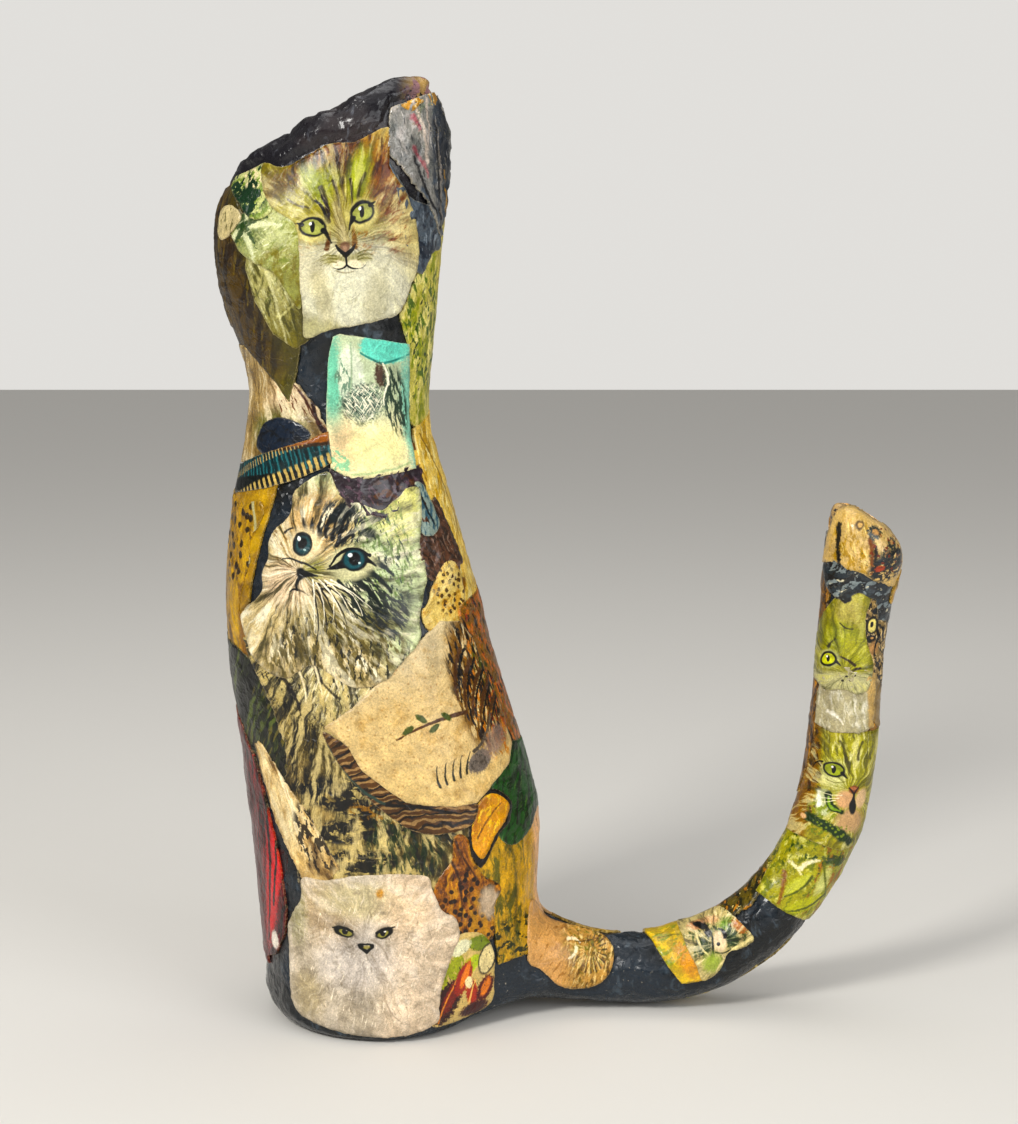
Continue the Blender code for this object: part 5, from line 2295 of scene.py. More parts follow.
    @staticmethod
    def kitten() -> tuple[Paper, ...]:
        """The big kitten's body, which goes under its neighbours.

        Returns:
            The papers, in the order in which they are glued on.
        """
        body = Print("5f5532", (
            Blotch((-6, 26), (40, 22), "998a5e", (6, 10), 0.46, 0.12, 14),
            Blotch((10, 24), (24, 24), "6d7f3e", (3, 8), 0.54, 0.08, -12, 0.6),
            Oval((-14, -22), (9, 20), "b8a67c", 14, 0.5, 1, 0.8),
            Oval((-6, 28), (26, 15), "d3cba6", -6, 0.5, 2, 0.85),
            Fur("d2c496", "12120a", (-6, 64), 26, 10, 0.95, 3.5),
            Blotch((-8, 26), (34, 20), "1a160c", (1.6, 4), 0.57, 0.06, 24, 0.9),
            Blotch((2, 26), (30, 18), "f0ead0", (1.3, 7), 0.52, 0.06, -30, 0.85),
            Blotch((2, -14), (24, 7), "0b1118", (7, 3.4), 0.4, 0.07, -8, 0.95),
            Blotch((4, -25), (22, 5), "0d1319", (6, 3), 0.42, 0.07, 4, 0.95),
            Blotch((-2, -36), (20, 4.6), "10120f", (5, 2.4), 0.42, 0.07, 2, 0.95),
            Blotch((8, -19), (10, 4), "a9854a", (4, 2), 0.5, 0.06, -10, 0.9),
            Blotch((18, -30), (14, 16), "27401f", (2, 6), 0.46, 0.06, 8, 0.85),
            Fur("dccfa6", "12120a", (-2, 50), 40, 7, 0.8, 3.5),
            Blotch((0, -14), (30, 26), "bfae82", (1, 6), 0.66, 0.05, 20, 0.9),
            Line((-30, 32), (-18, 14), "20160c", 1.2, 0.5, 2, 0.4, 2.5, 0.9),
            Line((-12, 34), (-4, 20), "20160c", 1, 0.4, -2, 0.4, 2.5, 0.85),
            *(
                Line((-22 + k * 8, 36), (-16 + k * 6, 18 + k * 2), "efe6cc", 0.5, 0.2, 2 - k, 0.3, 1)
                for k in range(5)
            ),
        ))
        white = Print("cbb58c", (
            Blotch((0, 4), (16, 26), "e6d5b0", (3, 9), 0.44, 0.1, 16),
            Fur("f2e7ca", "5c4126", (-24, 46), 22, 10, 0.75, 3),
            *(
                Line(
                    (-9 + k * 5, 20 - k * 8), (4 + k * 2, -8 - k * 4), "f3ead2", 0.5, 0.2, 2 - k * 2, 0.3,
                    1,
                )
                for k in range(3)
            ),
            Blotch((10, -8), (8, 14), "1c120a", (2.4, 5), 0.48, 0.05, 20, 0.9),
        ))
        return (
            Paper("tabby_body", body, (
                (-42, 138), (-20, 142), (5, 140), (22, 132), (26, 100), (33, 76), (29, 62), (18, 52),
                (0, 55), (-20, 54), (-32, 55), (-31, 70), (-33, 87), (-30, 101), (-35, 119),
            ), (-6, 100), Cut.TORN),
            Paper("white_chest", white, (
                (-46, 101), (-41, 101), (-34, 92), (-24, 79), (-16, 63), (-19, 57), (-29, 56), (-38, 70),
                (-43, 84),
            ), (-32, 80), Cut.TORN),
        )

    @classmethod
    def kitten_head(cls) -> tuple[Paper, ...]:
        """The big kitten's head, which goes over its neighbours.

        Returns:
            The papers, in the order in which they are glued on.
        """
        outline = (
            (-2.3, 196), (-12, 191), (-14.5, 188), (-16.4, 181), (-21.3, 177), (-25, 172.3), (-25.8, 166.3),
            (-28.6, 161.4), (-30, 154), (-41, 145.6), (-40, 138), (-37, 131), (-26, 126), (-14, 131),
            (-2, 124), (8.6, 126), (16, 132), (24, 139), (25.3, 145.5), (27.2, 150.4), (30, 159.5),
            (29, 168), (28.2, 172.5), (29.7, 180.6), (29.6, 188.8), (25, 189.6), (20, 186), (14.7, 183),
            (7, 186), (1, 190),
        )
        return (Paper("big_kitten", cls.big_kitten(), outline, (-5, 165), wrinkles=0.15),)

    @staticmethod
    def flank() -> tuple[Paper, ...]:
        """The cream paper, the woven strip and the ochre hip.

        Returns:
            The papers, in the order in which they are glued on.
        """
        green = Print("3c6a3a", (
            Blotch((0, 0), (20, 24), "23421f", (3, 9), 0.48, 0.08, -30),
            Blotch((0, 0), (20, 24), "6f8f55", (2, 8), 0.6, 0.06, -30, 0.8),
            Line((-6, -10), (6, 14), "16240f", 0.6, 0.3, 1.5, 0.4, 1),
        ))
        drop = Print("e3ac22", (
            Wash((-3, 2), "b97d0a", 60, 2, 2, 0.7),
            Blotch((0, 0), (10, 10), "f6d35c", (2, 4), 0.52, 0.08, -30, 0.9),
            Line((-6, -6), (5, 5), "6a4206", 0.35, 0.2, 1.2, 0.3, 0.8, 0.8),
        ))
        edge = Print("1d150c", ())
        woven = Print("6e543a", (
            Stripes((0, 0), (40, 30), "b39a78", 2.2, 8, 0.008, 5, 0.1, 1, 0.9),
            Stripes((0, 0), (40, 30), "261b10", 3.6, 12, 0.008, 6, 0.45, 1, 0.95),
            Line((-26, 16), (-6, -4), "4c6058", 0.6, 0.5, -2.5, 0.3, 0.5),
            Line((-6, -4), (16, -8), "1d140c", 0.7, 0.4, 0.8, 0.3, 0.5),
        ))
        brown, black = "6a4a26", "1f160f"
        rust, leafy = "b4552a", "5f6a30"
        cream = Print("dcc8a0", (
            Wash((0, 18), "d3c7ac", 20, 10, 8, 0.8), Wash((0, -16), "e6d0a2", 190, 9, 8, 0.7),
            Blotch((0, 0), (40, 40), "c3a878", (9, 9), 0.5, 0.2, 0, 0.7),
            Spots((-6, 2), (30, 30), "a8804f", 3.4, 0.05, 0, 0.3, 0.4),
            Blotch((24, 12), (13, 26), "8c6a36", (2.6, 9), 0.42, 0.08, 10, 0.95),
            Blotch((28, 8), (11, 24), "d2924a", (2.4, 5), 0.52, 0.06, 10, 0.9),
            Blotch((23, 12), (12, 25), black, (1.5, 7), 0.5, 0.05, 14, 0.95),
            Blotch((33, 6), (8, 16), rust, (2.2, 2.2), 0.55, 0.05, 0, 0.85),
            Blotch((30, 18), (8, 10), leafy, (2, 4), 0.52, 0.05, 30, 0.85),
            *(
                Line((13 + k * 3, 8 - k * 3), (17 + k * 4, 24 - k * 4), brown, 0.5, 1, 1.6, 0.3, 1.6)
                for k in range(5)
            ),
            *(
                Line((14.4 + k * 3, 7 - k * 3), (19 + k * 4, 24 - k * 4), black, 0.3, 0.7, 1.8, 0.25, 1.4)
                for k in range(5)
            ),
            Line((-10, -4), (16, 3), brown, 0.3, 0.8, 1.6, 0.2, 0.5),
            *(
                Oval((-6 + k * 4.6, -1 + (k % 2) * 3.6), (2.3, 1), leafy, 35 - (k % 2) * 70, 0.2, 0.6)
                for k in range(4)
            ),
            Oval((20, -14), (5.4, 3.6), "8b8178", 24, 0.15, 0.8),
            Blotch((20, -14), (5, 3.2), "5d554c", (1.6, 1.6), 0.5, 0.08, 24, 0.7),
            *(
                Line(
                    (4 + k * 2.6, -21 + k * 0.9), (3.4 + k * 3.2, -14 + k * 0.9), "3c3a1c", 0.5, 0.15, 0.6,
                    0.2, 0.4,
                )
                for k in range(5)
            ),
            Line((18, -10.5), (27, 1), "6c6255", 0.7, 0.4, -1.5, 0.3, 0.8),
            Oval((28, -8), (6, 4), "a9958a", 40, 0.4, 1.5, 0.8),
            Blotch((-14, -4), (18, 14), "b9a070", (1.6, 8), 0.58, 0.14, 60, 0.6),
        ), 0.15, 0.15, 0.3)
        return (
            Paper("ochre_hip", Stock.OCHRE, (
                (50, 71), (70, 78), (86, 78), (86, 60), (78, 40), (72, 31), (60, 25), (46, 23), (42, 38),
                (35, 48), (32, 62), (40, 71),
            ), (52, 50), Cut.STRAIGHT),
            Paper("bark_paper", Stock.BARK, (
                (42, 146), (50, 150), (66, 152), (84, 150), (84, 92), (60, 94), (50, 92), (50, 110),
                (46, 126),
            ), (56, 120)),
            Paper("green_paper", green, (
                (52, 99), (62, 99), (80, 96), (86, 84), (84, 74), (68, 74), (60, 69), (50, 65), (43, 69),
                (41, 82), (45, 91),
            ), (58, 82)),
            Paper("drop_edge", edge, (
                (30, 68), (32.5, 80.5), (38, 85.6), (44.5, 85.4), (50.6, 80), (48, 74), (42, 69.5),
                (36.5, 62), (33, 60),
            ), (40, 76)),
            Paper("gold_drop", drop, (
                (31.2, 69), (33.7, 79.5), (38.4, 84), (44, 83.9), (49, 79.6), (46.5, 75.2), (41.5, 71),
                (36.5, 64.5), (33.8, 63),
            ), (40, 76)),
            Paper("woven_strip", woven, (
                (-15, 108.5), (-7, 104), (0, 98), (10, 90), (30, 86), (35, 82), (32, 75.5), (22, 73),
                (12, 74.5), (4, 80), (-4, 88), (-11, 98),
            ), (10, 88)),
            Paper("cream_paper", cream, (
                (24, 138.6), (33, 144.4), (41, 143.5), (47, 136), (50, 124), (55, 110), (56, 99), (52, 93),
                (44, 88.6), (35, 82.5), (27, 82), (16.4, 83.3), (10, 84.7), (3.8, 89.6), (-3.5, 96),
                (-7, 104), (-14.3, 110.3), (-4, 117), (6, 125), (15, 132),
            ), (20, 110), Cut.STRAIGHT, wrinkles=0.15),
        )

    @staticmethod
    def base() -> tuple[Paper, ...]:
        """The white face, the second cub, the leaves and the red paper at the foot.

        Returns:
            The papers, in the order in which they are glued on.
        """
        spotted = Print("b07a2a", (
            Blotch((0, 0), (22, 30), "7c4c14", (4, 6), 0.48, 0.1, -30),
            Blotch((4, -4), (16, 22), "dda040", (3, 4), 0.54, 0.1, -20, 0.9),
            Fur("e3bb6a", "4a2608", (-4, 30), 20, 7, 0.6), Spots((3, -6), (14, 16), "241306", 3, 0.26, 30),
            Oval((8, -6), (5, 6), "cdbfae", 20, 0.4, 1.5, 0.95),
            Line((-7, 14), (-3, -10), "3c1e08", 0.7, 0.3, 1.5, 0.4, 1, 0.85),
            Line((-3, 18), (3, 4), "4a260a", 0.5, 0.3, -1, 0.3, 1, 0.8),
        ))
        dark = "12100d"
        white = Print("cac0b0", (
            Wash((6, 0), "e2d2be", -92, 7, 4, 0.9), Oval((-4, -4), (13, 11), "cdc6c0", 0, 0.5, 0.5, 0.8),
            Oval((-16, 12), (12, 10), "bda98c", 0, 0.6, 1, 0.7),
            Oval((-26, 10), (4, 10), "9a9a6c", 0, 0.6, 1.5, 0.6),
            Oval((-2, 17), (16, 6), "d9cfae", 0, 0.5, 0.5, 0.8),
            Oval((14, 15), (9, 9), "ecd8be", 0, 0.6, 0.5, 0.8),
            Oval((4.6, 19.6), (1.2, 1.6), "d8a657", 0, 0.5, 1, 0.8),
            Oval((-22, -18), (6, 8), "b9ab86", 0, 0.6, 1, 0.6),
            # Broad darker clouds over the face: painted shade of its wrinkles.
            Blotch((0, 0), (34, 30), "9d9280", (5, 6), 0.54, 0.16, 30, 0.55),
            Fur("f8efe2", "716450", (0, 4), 21, 9, 0.24, 7),
            Fur("f6eee4", "7d7464", (-34, 44), 15, 6, 0.26, 6),
            Blotch((0, -6), (30, 26), "8d7f66", (0.9, 5), 0.62, 0.08, 20, 0.5),
            Blotch((0, -6), (30, 26), "f9f0e0", (0.8, 5), 0.6, 0.08, -14, 0.6),
            Line((-9, 7.6), (-3.6, 4.2), "8d8478", 1.6, 0.5, 0.5, 0.8, 0.5, 0.7),
            Line((6.4, 7.4), (2.6, 3.4), "8d8478", 1.3, 0.5, -0.4, 0.8, 0.5, 0.6),
            Oval((-8, 5.9), (3.7, 1.9), dark, -16, 0.12), Oval((-7.2, 5.6), (2.3, 1.1), "a9a468", -14, 0.2),
            Oval((-7.3, 5.9), (1.05, 1.1), dark, 0, 0.2), Oval((-6.6, 6.6), (0.4, 0.35), "f4f0ea"),
            Line((-12, 7), (-4.8, 6.2), dark, 0.25, 0.5, 0.5, 0.15),
            Oval((6, 5.9), (3.2, 1.9), dark, 24, 0.12), Oval((5.6, 5.6), (2, 1.1), "a9a468", 24, 0.2),
            Oval((5.6, 5.9), (1, 1.1), dark, 0, 0.2), Oval((6.3, 6.6), (0.4, 0.35), "f4f0ea"),
            Line((9.6, 7.8), (3.4, 5.8), dark, 0.25, 0.5, -0.4, 0.15),
            Line((-2.6, 1.6), (2.2, 1.7), dark, 0.35, 0.35, 0.25, 0.2, 0.3),
            Line((-1.8, 1), (0.2, -0.9), dark, 0.9, 0.6, 0, 0.25),
            Line((1.8, 1.1), (0.2, -0.9), dark, 0.8, 0.5, 0, 0.25),
            Oval((0.1, 0.9), (1.1, 0.6), "b3aa6a", 0, 0.3, 0, 0.8),
            Line((1.8, 3.4), (7.2, -3.6), "a79c8e", 0.35, 0.2, 1.2, 0.4, 0.5, 0.8),
            Line((6, -16), (12, -26), "b9aa98", 0.35, 0.2, -1, 0.3, 0.5, 0.8),
        ), 0.15, 0.1, 0.35)
        return (
            Paper("red_paper", Stock.RED, (
                (-80, 112), (-62, 110), (-54, 106), (-48, 95), (-43.5, 77), (-41, 60), (-37, 44), (-38, 35),
                (-43.5, 26), (-54, 22), (-80, 24),
            ), (-48, 64), Cut.STRAIGHT),
            Paper("second_cub", spotted, (
                (25.3, 72), (29.5, 71), (30.5, 63.5), (35, 57), (43, 51.5), (41, 45), (42, 35.5), (39, 33),
                (28.3, 36), (22, 43), (17, 51), (18.5, 58), (23.2, 64),
            ), (30, 52)),
            Paper("leaf_paper", Stock.LEAVES, (
                (20, 6), (20, 21), (23, 31), (27.5, 37), (36, 36.4), (42.5, 29), (44.5, 19), (45.5, 10),
                (41, 6.5), (31.5, 4.5),
            ), (32, 21)),
            Paper("white_face", white, (
                (-29.5, 57), (-21, 57.4), (-6, 60), (13, 59.3), (16.3, 54), (20.5, 46.5), (25.3, 43.5),
                (27.5, 37), (25.5, 30.5), (23, 21), (22.4, 13), (22.5, 6.8), (13.8, 3.4), (5, 2.6),
                (-7.5, 3.5), (-19, 5.3), (-30, 8.4), (-34, 15), (-34.4, 24.4), (-36, 35.5), (-34, 43),
                (-30, 50),
            ), (-4.5, 34), wrinkles=0.3),
        )

    @staticmethod
    def back() -> tuple[Paper, ...]:
        """The pale yellow strip down the back of the head and neck.

        Returns:
            The papers, in the order in which they are glued on.
        """
        return (
            Paper("yellow_strip", Stock.STRIP, (
                (54, 296), (60, 292), (66, 280), (68, 250), (64, 228), (60, 214), (50, 211), (36, 208),
                (30, 212), (29, 225), (28.5, 238), (25, 247), (31, 257), (36, 264), (46, 268), (52, 277),
                (55, 288),
            ), (42, 240), Cut.TORN),
        )



class Tail:
    """The cut-outs of the tail's side that faces the viewer, from its root to its tip."""

    @staticmethod
    def root() -> tuple[Paper, ...]:
        """The ribbed wing, the yellow card and the small patchwork kitten.

        Returns:
            The papers, in the order in which they are glued on.
        """
        rays = [(math.cos(k * 0.3 - 1.9), math.sin(k * 0.3 - 1.9)) for k in range(11)]
        wing = Print("c9a976", (
            Blotch((0, 0), (30, 20), "8f7a38", (5, 5), 0.5, 0.14),
            Blotch((4, 2), (10, 10), "7c8034", (2.4, 3), 0.5, 0.12, 30, 0.8),
            Blotch((-2, 0), (26, 18), "6d5222", (2, 6), 0.51, 0.12, -30, 0.8),
            Blotch((-2, 0), (26, 18), "f0dcae", (1.4, 5), 0.53, 0.1, -20, 0.8),
            Wash((-3, 0), "dcb88e", 80, 5, 5, 0.9),
            Blotch((-8, 0), (12, 16), "a57e50", (2, 7), 0.55, 0.12, -50, 0.7),
            *(
                Line(
                    (6 + x * 3.6, 1 + y * 3.6), (6 + x * 8, 1 + y * 8), "4c3b14", 0.15, 0.4, 0, 0.25, 1,
                    0.8,
                )
                for x, y in rays
            ),
            *(
                Line((6 + y * 3, 1 - x * 3), (6 + y * 8, 1 - x * 8), "ead9a8", 0.15, 0.3, 0, 0.25, 1, 0.6)
                for x, y in rays
            ),
            Line((-1.4, 5.4), (2.4, 3.6), "f4ead0", 0.8, 0.3, 0.8, 0.2, 1),
            Line((-2.6, -1.6), (0.6, 1.8), "f4ead0", 0.4, 0.7, -0.8, 0.3, 1),
            Line((2, 4), (12, 6.4), "5c4620", 0.3, 0.2, -0.6, 0.3, 1, 0.8),
        ))
        yellow = Print("c8b22c", (
            Blotch((0, 0), (16, 16), "e6cc48", (4, 4), 0.48, 0.1),
            Oval((5, -3), (3, 7), "dd9a38", 28, 0.6, 1, 0.7),
            Blotch((-4, 2), (9, 12), "98a81e", (2, 5), 0.5, 0.12, -50, 0.8),
            Line((-6, 5), (6, 6), "7f7a18", 0.3, 0.2, 1, 0.3, 1, 0.8),
        ), 0.5)
        black, pine = "15140f", "35522a"
        small = Print("cfc49a", (
            Blotch((4, 2), (16, 10), "5f6e3c", (2.4, 4), 0.5, 0.12, 20),
            Oval((-7, 5), (3.4, 2.4), "d9a98c", 20, 0.4, 1.5, 0.9),
            Oval((-1.4, 7.4), (3.4, 1.8), "e0c0a0", 0, 0.4, 1.5, 0.9),
            Oval((5.4, 5), (3.4, 3), "86a446", 20, 0.5, 1.5),
            Oval((10, 5), (3.4, 2.6), "b5762c", -20, 0.4, 2),
            Oval((6.8, 0.4), (2.6, 3.8), pine, 20, 0.4, 2, 0.95),
            Oval((-2.8, -3), (2.4, 3.4), pine, 30, 0.4, 2, 0.95),
            Fur("f3ecd0", "2c2a14", (2, -2), 12, 5, 0.6),
            Oval((2.6, -0.8), (2.4, 3.6), "ecdcc0", 14, 0.2, 0.8),
            Oval((-6.6, 5.4), (1.7, 1.2), black, 0, 0.3, 1.5),
            Oval((-4, 4.2), (2.2, 1.3), black, -20, 0.3, 1.5),
            Oval((-1.8, 2), (1, 1.6), black, 30, 0.3, 1.5),
            Line((2.2, 3.6), (4.4, 1.2), black, 0.3, 0.9, 0.6, 0.2, 1),
            Oval((2.3, -1.7), (0.65, 0.65), black, soft=0.2),
            Line((-6, 1), (-0.4, -6), "e6ddb4", 0.4, 0.3, -0.8, 0.2, 0.6),
            Line((-0.6, 2), (0.4, -7), "2f3a1c", 0.3, 0.5, 0.6, 0.2, 0.8),
            Line((1.6, -4.6), (6.4, -3.4), "2f3a1c", 0.3, 0.2, -0.6, 0.2, 0.6),
            Oval((1, -8.4), (3, 3.4), "a9b86a", 0, 0.4, 1.5, 0.9),
            Line((17, 1), (7.4, -3.6), "eae0b4", 0.5, 0.7, -0.5, 0.3, 0.6),
            Line((7.4, -3.6), (3, -11), "eae0b4", 0.6, 0.3, -0.5, 0.3, 0.6),
        ))
        inner = Print("7c7038", (
            Blotch((0, 0), (40, 40), "3b3a1c", (3, 5), 0.47, 0.07, 30),
            Blotch((0, 0), (40, 40), "c08f3e", (2.6, 4), 0.57, 0.06, 30),
            Blotch((0, 0), (40, 40), "e2d7a8", (1.6, 3), 0.63, 0.05, 30),
        ))
        return (
            Paper("tail_inner_low", inner, (
                (-17, 44), (-14, 62), (-11, 78), (-13, 92), (-24, 96), (-27, 80), (-27, 60), (-26, 42),
            ), (-18, 70), Cut.TORN),
            Paper("tail_wing", wing, (
                (-26, -14), (-22, -6), (-20, 2), (-18, 9), (-14, 14.6), (-8, 16.6), (-1, 15), (4, 10),
                (6.4, 3), (4.4, -3), (-1, -9), (-6, -14),
            ), (-7, 2)),
            Paper("yellow_card", yellow, (
                (-30, 29.5), (-21, 30), (-8, 35), (3, 41), (4, 50), (-6, 49), (-22, 46), (-32, 44),
            ), (-9, 40), Cut.STRAIGHT),
            Paper("patch_kitten", small, (
                (-26, 46), (-24, 62), (-14, 69), (-2, 71), (-1, 66), (-2, 60), (2.6, 54), (3.6, 48),
                (-3, 47.4), (-12, 45.6),
            ), (-9, 57)),
        )

    @staticmethod
    def middle() -> tuple[Paper, ...]:
        """The swirled paper and the one-eyed face over it.

        Returns:
            The papers, in the order in which they are glued on.
        """
        swirls = Print("aeab48", (
            Blotch((0, 0), (18, 24), "d6d592", (4, 6), 0.5, 0.14, -30),
            Blotch((0, 0), (18, 24), "7d8720", (2.6, 6), 0.5, 0.12, -40, 0.9),
            Blotch((8, 0), (8, 20), "a8782c", (2.4, 6), 0.48, 0.12, -20, 0.9),
            Blotch((-2, 8), (14, 10), "3f5c1c", (2.4, 3.2), 0.56, 0.08, -20, 0.95),
            Oval((8, 4), (4.6, 1.8), "3d561e", -14, 0.3, 2.5, 0.9),
            Oval((-1, -11), (7.5, 2.4), "c2c432", 24, 0.3, 1),
            Line((-7, -14), (6, -8), "5f6a14", 0.3, 0.6, -1.2, 0.3, 1, 0.9),
            Oval((-5, -4), (6.5, 2), "cdd078", 40, 0.4, 1.2, 0.9),
            Line((-9, -9), (0, -0.6), "5f6a14", 0.3, 0.5, -1, 0.3, 1, 0.9),
            Oval((4, -3), (6, 2.2), "d3d6a0", 66, 0.4, 1.2, 0.8),
            Line((7, -10), (4, 6), "717a2a", 0.3, 0.5, 0.8, 0.3, 1, 0.9),
            Line((-4, 2), (2, 5), "f3efd4", 0.9, 0.5, 0.8, 0.5, 2),
            Line((-8, 4), (-4, 0), "efeccb", 0.7, 0.4, 0.5, 0.4, 2, 0.9),
            Line((-10, 0), (-11, -12), "9a6a24", 0.9, 0.5, 0.4, 0.6, 2, 0.9),
        ))
        dark = "11100a"
        face = Print("b4ae4e", (
            Oval((2, 10), (9, 8), "b3b02c", 0, 0.5, 1.5),
            Blotch((2, 10), (14, 12), "78781c", (1.8, 7), 0.5, 0.12, 4, 0.9),
            Blotch((0, 10), (12, 12), "e3e2b0", (1.6, 7), 0.54, 0.12, -8, 0.9),
            Oval((-4, 2), (6, 5.4), "d2d4a0", -10, 0.5, 1, 0.9),
            Oval((4, 0), (3.4, 5), "b0ae2c", 8, 0.5, 1), Wash((-9, 4), "9a7424", 84, 1.6, 2),
            Spots((-11, 4), (3.4, 20), "4c2c0e", 3.6, 0.3, 0, 0.8),
            Fur("f0edc4", "55521a", (3, -4), 13, 7, 0.6),
            # A pale patch with a white streak beside the eye: a painted glare on the varnish.
            Oval((-7, -9), (2.6, 5), "c9d0b4", 10, 0.5, 1.2, 0.9),
            Oval((-8.6, -8), (1, 3), "f2f2e6", 8, 0.4, 1.2),
            Blotch((-3, -12), (10, 5), "8f9c34", (2, 3), 0.46, 0.12, 0, 0.9),
            Oval((2.6, -14.6), (5.6, 4.4), "cdb393", 0, 0.3, 1.2),
            Oval((0.1, -6.8), (3.2, 3.2), "dcbc9c", 20, 0.25, 0.6),
            Oval((6.6, -7), (2.6, 3.4), "e3ccae", -10, 0.3, 0.6),
            Line((-11.5, -15.4), (4, -21.6), "2f4a1c", 1.9, 1.7, 0.8, 0.6, 3),
            Spots((-4, -18.5), (9, 3.4), "8c9a4e", 1.6, 0.2, 0, 0.8),
            Oval((-13.6, -15.6), (1.4, 1), "e0c3a4", 0, 0.4, 1),
            Line((-5.4, -6), (-0.6, -11.4), "2c4414", 1.6, 0.9, -1.6, 0.3, 1),
            Line((-5.4, -6.6), (-1.2, -11), "8fae2c", 0.6, 0.4, -1.6, 0.3, 1),
            Line((-12, 4), (-7.6, 6.6), dark, 0.2, 0.4, 0.9, 0.2, 0.4),
            Line((1.4, 6), (1.2, 1), "4d4a10", 0.7, 0.2, 0, 0.4, 1, 0.8),
            Line((-1, 14), (0.4, 7), "4d4a10", 0.4, 0.6, 0.5, 0.3, 1.4, 0.8),
            Line((6.6, 13), (4.6, 7), "4d4a10", 0.4, 0.6, -0.5, 0.3, 1.4, 0.8),
            Eye((-3.8, 3.8), (3.1, 2.1), "a3ac4a", -14, (0.24, 0.7), rim_width=0.75),
            Line((-1, 2.4), (0.6, 0.6), dark, 0.7, 0.2, 0, 0.2),
            Line((-6.4, 0), (0, -0.6), "7e7c34", 0.3, 0.2, -0.6, 0.3, 0.6, 0.8),
            Oval((3.2, -3.5), (1.9, 1.5), "9c6a4c", 0, 0.2, 0.3),
            Oval((3, -3.1), (1.2, 0.6), "c08c70", 0, 0.4, 0.3),
            Line((1.4, -2.9), (3.2, -5.4), dark, 0.25, 0.4, 0.2, 0.2),
            Line((5, -2.9), (3.2, -5.4), dark, 0.2, 0.4, -0.2, 0.2),
            Line((3.2, -5.4), (3.2, -8), dark, 0.3, 1, 0, 0.2),
            Oval((3.2, -9.6), (1.5, 2.4), dark, 0, 0.2, 0.4),
            *(
                Line((-1 - k, -5.4 - k), (-9 - k, -4.6 - k * 2), "f4f0d8", 0.16, 0.06, 0.6, 0.12)
                for k in range(3)
            ),
        ))
        return (
            Paper("tail_swirls", swirls, (
                (-13, 84), (-16, 96), (-18, 110), (-16, 124), (14, 124), (26, 116), (26, 92), (16, 88),
                (8, 86.5), (-4, 85),
            ), (0, 102), Cut.STRAIGHT),
            Paper("tail_face", face, (
                (-19, 112), (-20, 126), (-20, 145), (-21, 156), (-4, 155.4), (10, 155.2), (26, 156),
                (26, 132), (12, 117), (5, 113.4), (-6, 113),
            ), (0, 138), Cut.STRAIGHT, wrinkles=0.15),
        )

    @staticmethod
    def top() -> tuple[Paper, ...]:
        """The pale face, the striped strip beside it, the marbled band and the peach tip.

        Returns:
            The papers, in the order in which they are glued on.
        """
        dark = "14120d"
        edge = Print("8a6a28", (
            Blotch((0, 0), (14, 50), "4a330f", (2.4, 6), 0.5, 0.08),
            Blotch((0, 0), (14, 50), "bf9440", (2, 7), 0.56, 0.08),
        ))
        pale = Print("b9b49c", (
            Blotch((0, 0), (14, 14), "dad8cc", (2, 7), 0.47, 0.2, 8),
            Blotch((0, 0), (14, 14), "8d8a62", (1.6, 6), 0.56, 0.14, 10, 0.7),
            Wash((7.4, 0), "c9b184", -86, 0.6, 1, 0.9),
            Line((-6, -4), (-1, -8), "f4f2ea", 0.5, 0.3, 1, 0.4, 1, 0.9),
        ), 0.3)
        face = Print("9f9c38", (
            Oval((0.8, 12), (5, 7), "b9b276", 6, 0.4, 1), Oval((-1, 3), (7, 5), "a2a81c", -10, 0.5, 1.5),
            Oval((3, -2), (4.4, 6), "b0b02e", 20, 0.5, 1.5), Wash((0, -9), "c6c4a6", 180, 1.5, 2, 0.9),
            Fur("d6d494", "565a10", (0, -9), 12, 6, 0.6),
            Line((-6, -0.6), (-3.4, 2.4), "3c3c10", 0.5, 0.2, 0.3, 0.3, 0.8),
            Line((-2, 7.9), (2.4, 6.4), "4c4a18", 0.3, 0.2, -0.6, 0.2, 0.5),
            Line((-2, -3.4), (3.4, -6.6), "4c3c18", 0.3, 0.5, 0.4, 0.3, 0.8),
            Oval((-5.8, -4.7), (3.9, 3.2), "cdd0a4", 10, 0.3, 0.6, 0.9),
            Eye((-5.9, -4.8), (2.6, 1.9), "c3c75c", 12, (0.24, 0.6), rim_width=0.85),
            Line((-2.8, -5.4), (-1.4, -6.6), dark, 0.6, 0.2, 0, 0.2),
            *(
                Oval((k * 1.3 - 0.6, k * 1.6 % 3 - 12), (0.45, 0.4), "2c2a14", 0, 0.3, 0.5)
                for k in range(4)
            ),
            Line((2, -9.4), (5, -7.4), "4a3c14", 0.3, 0.4, 0.3, 0.3, 1),
        ), 0.45)
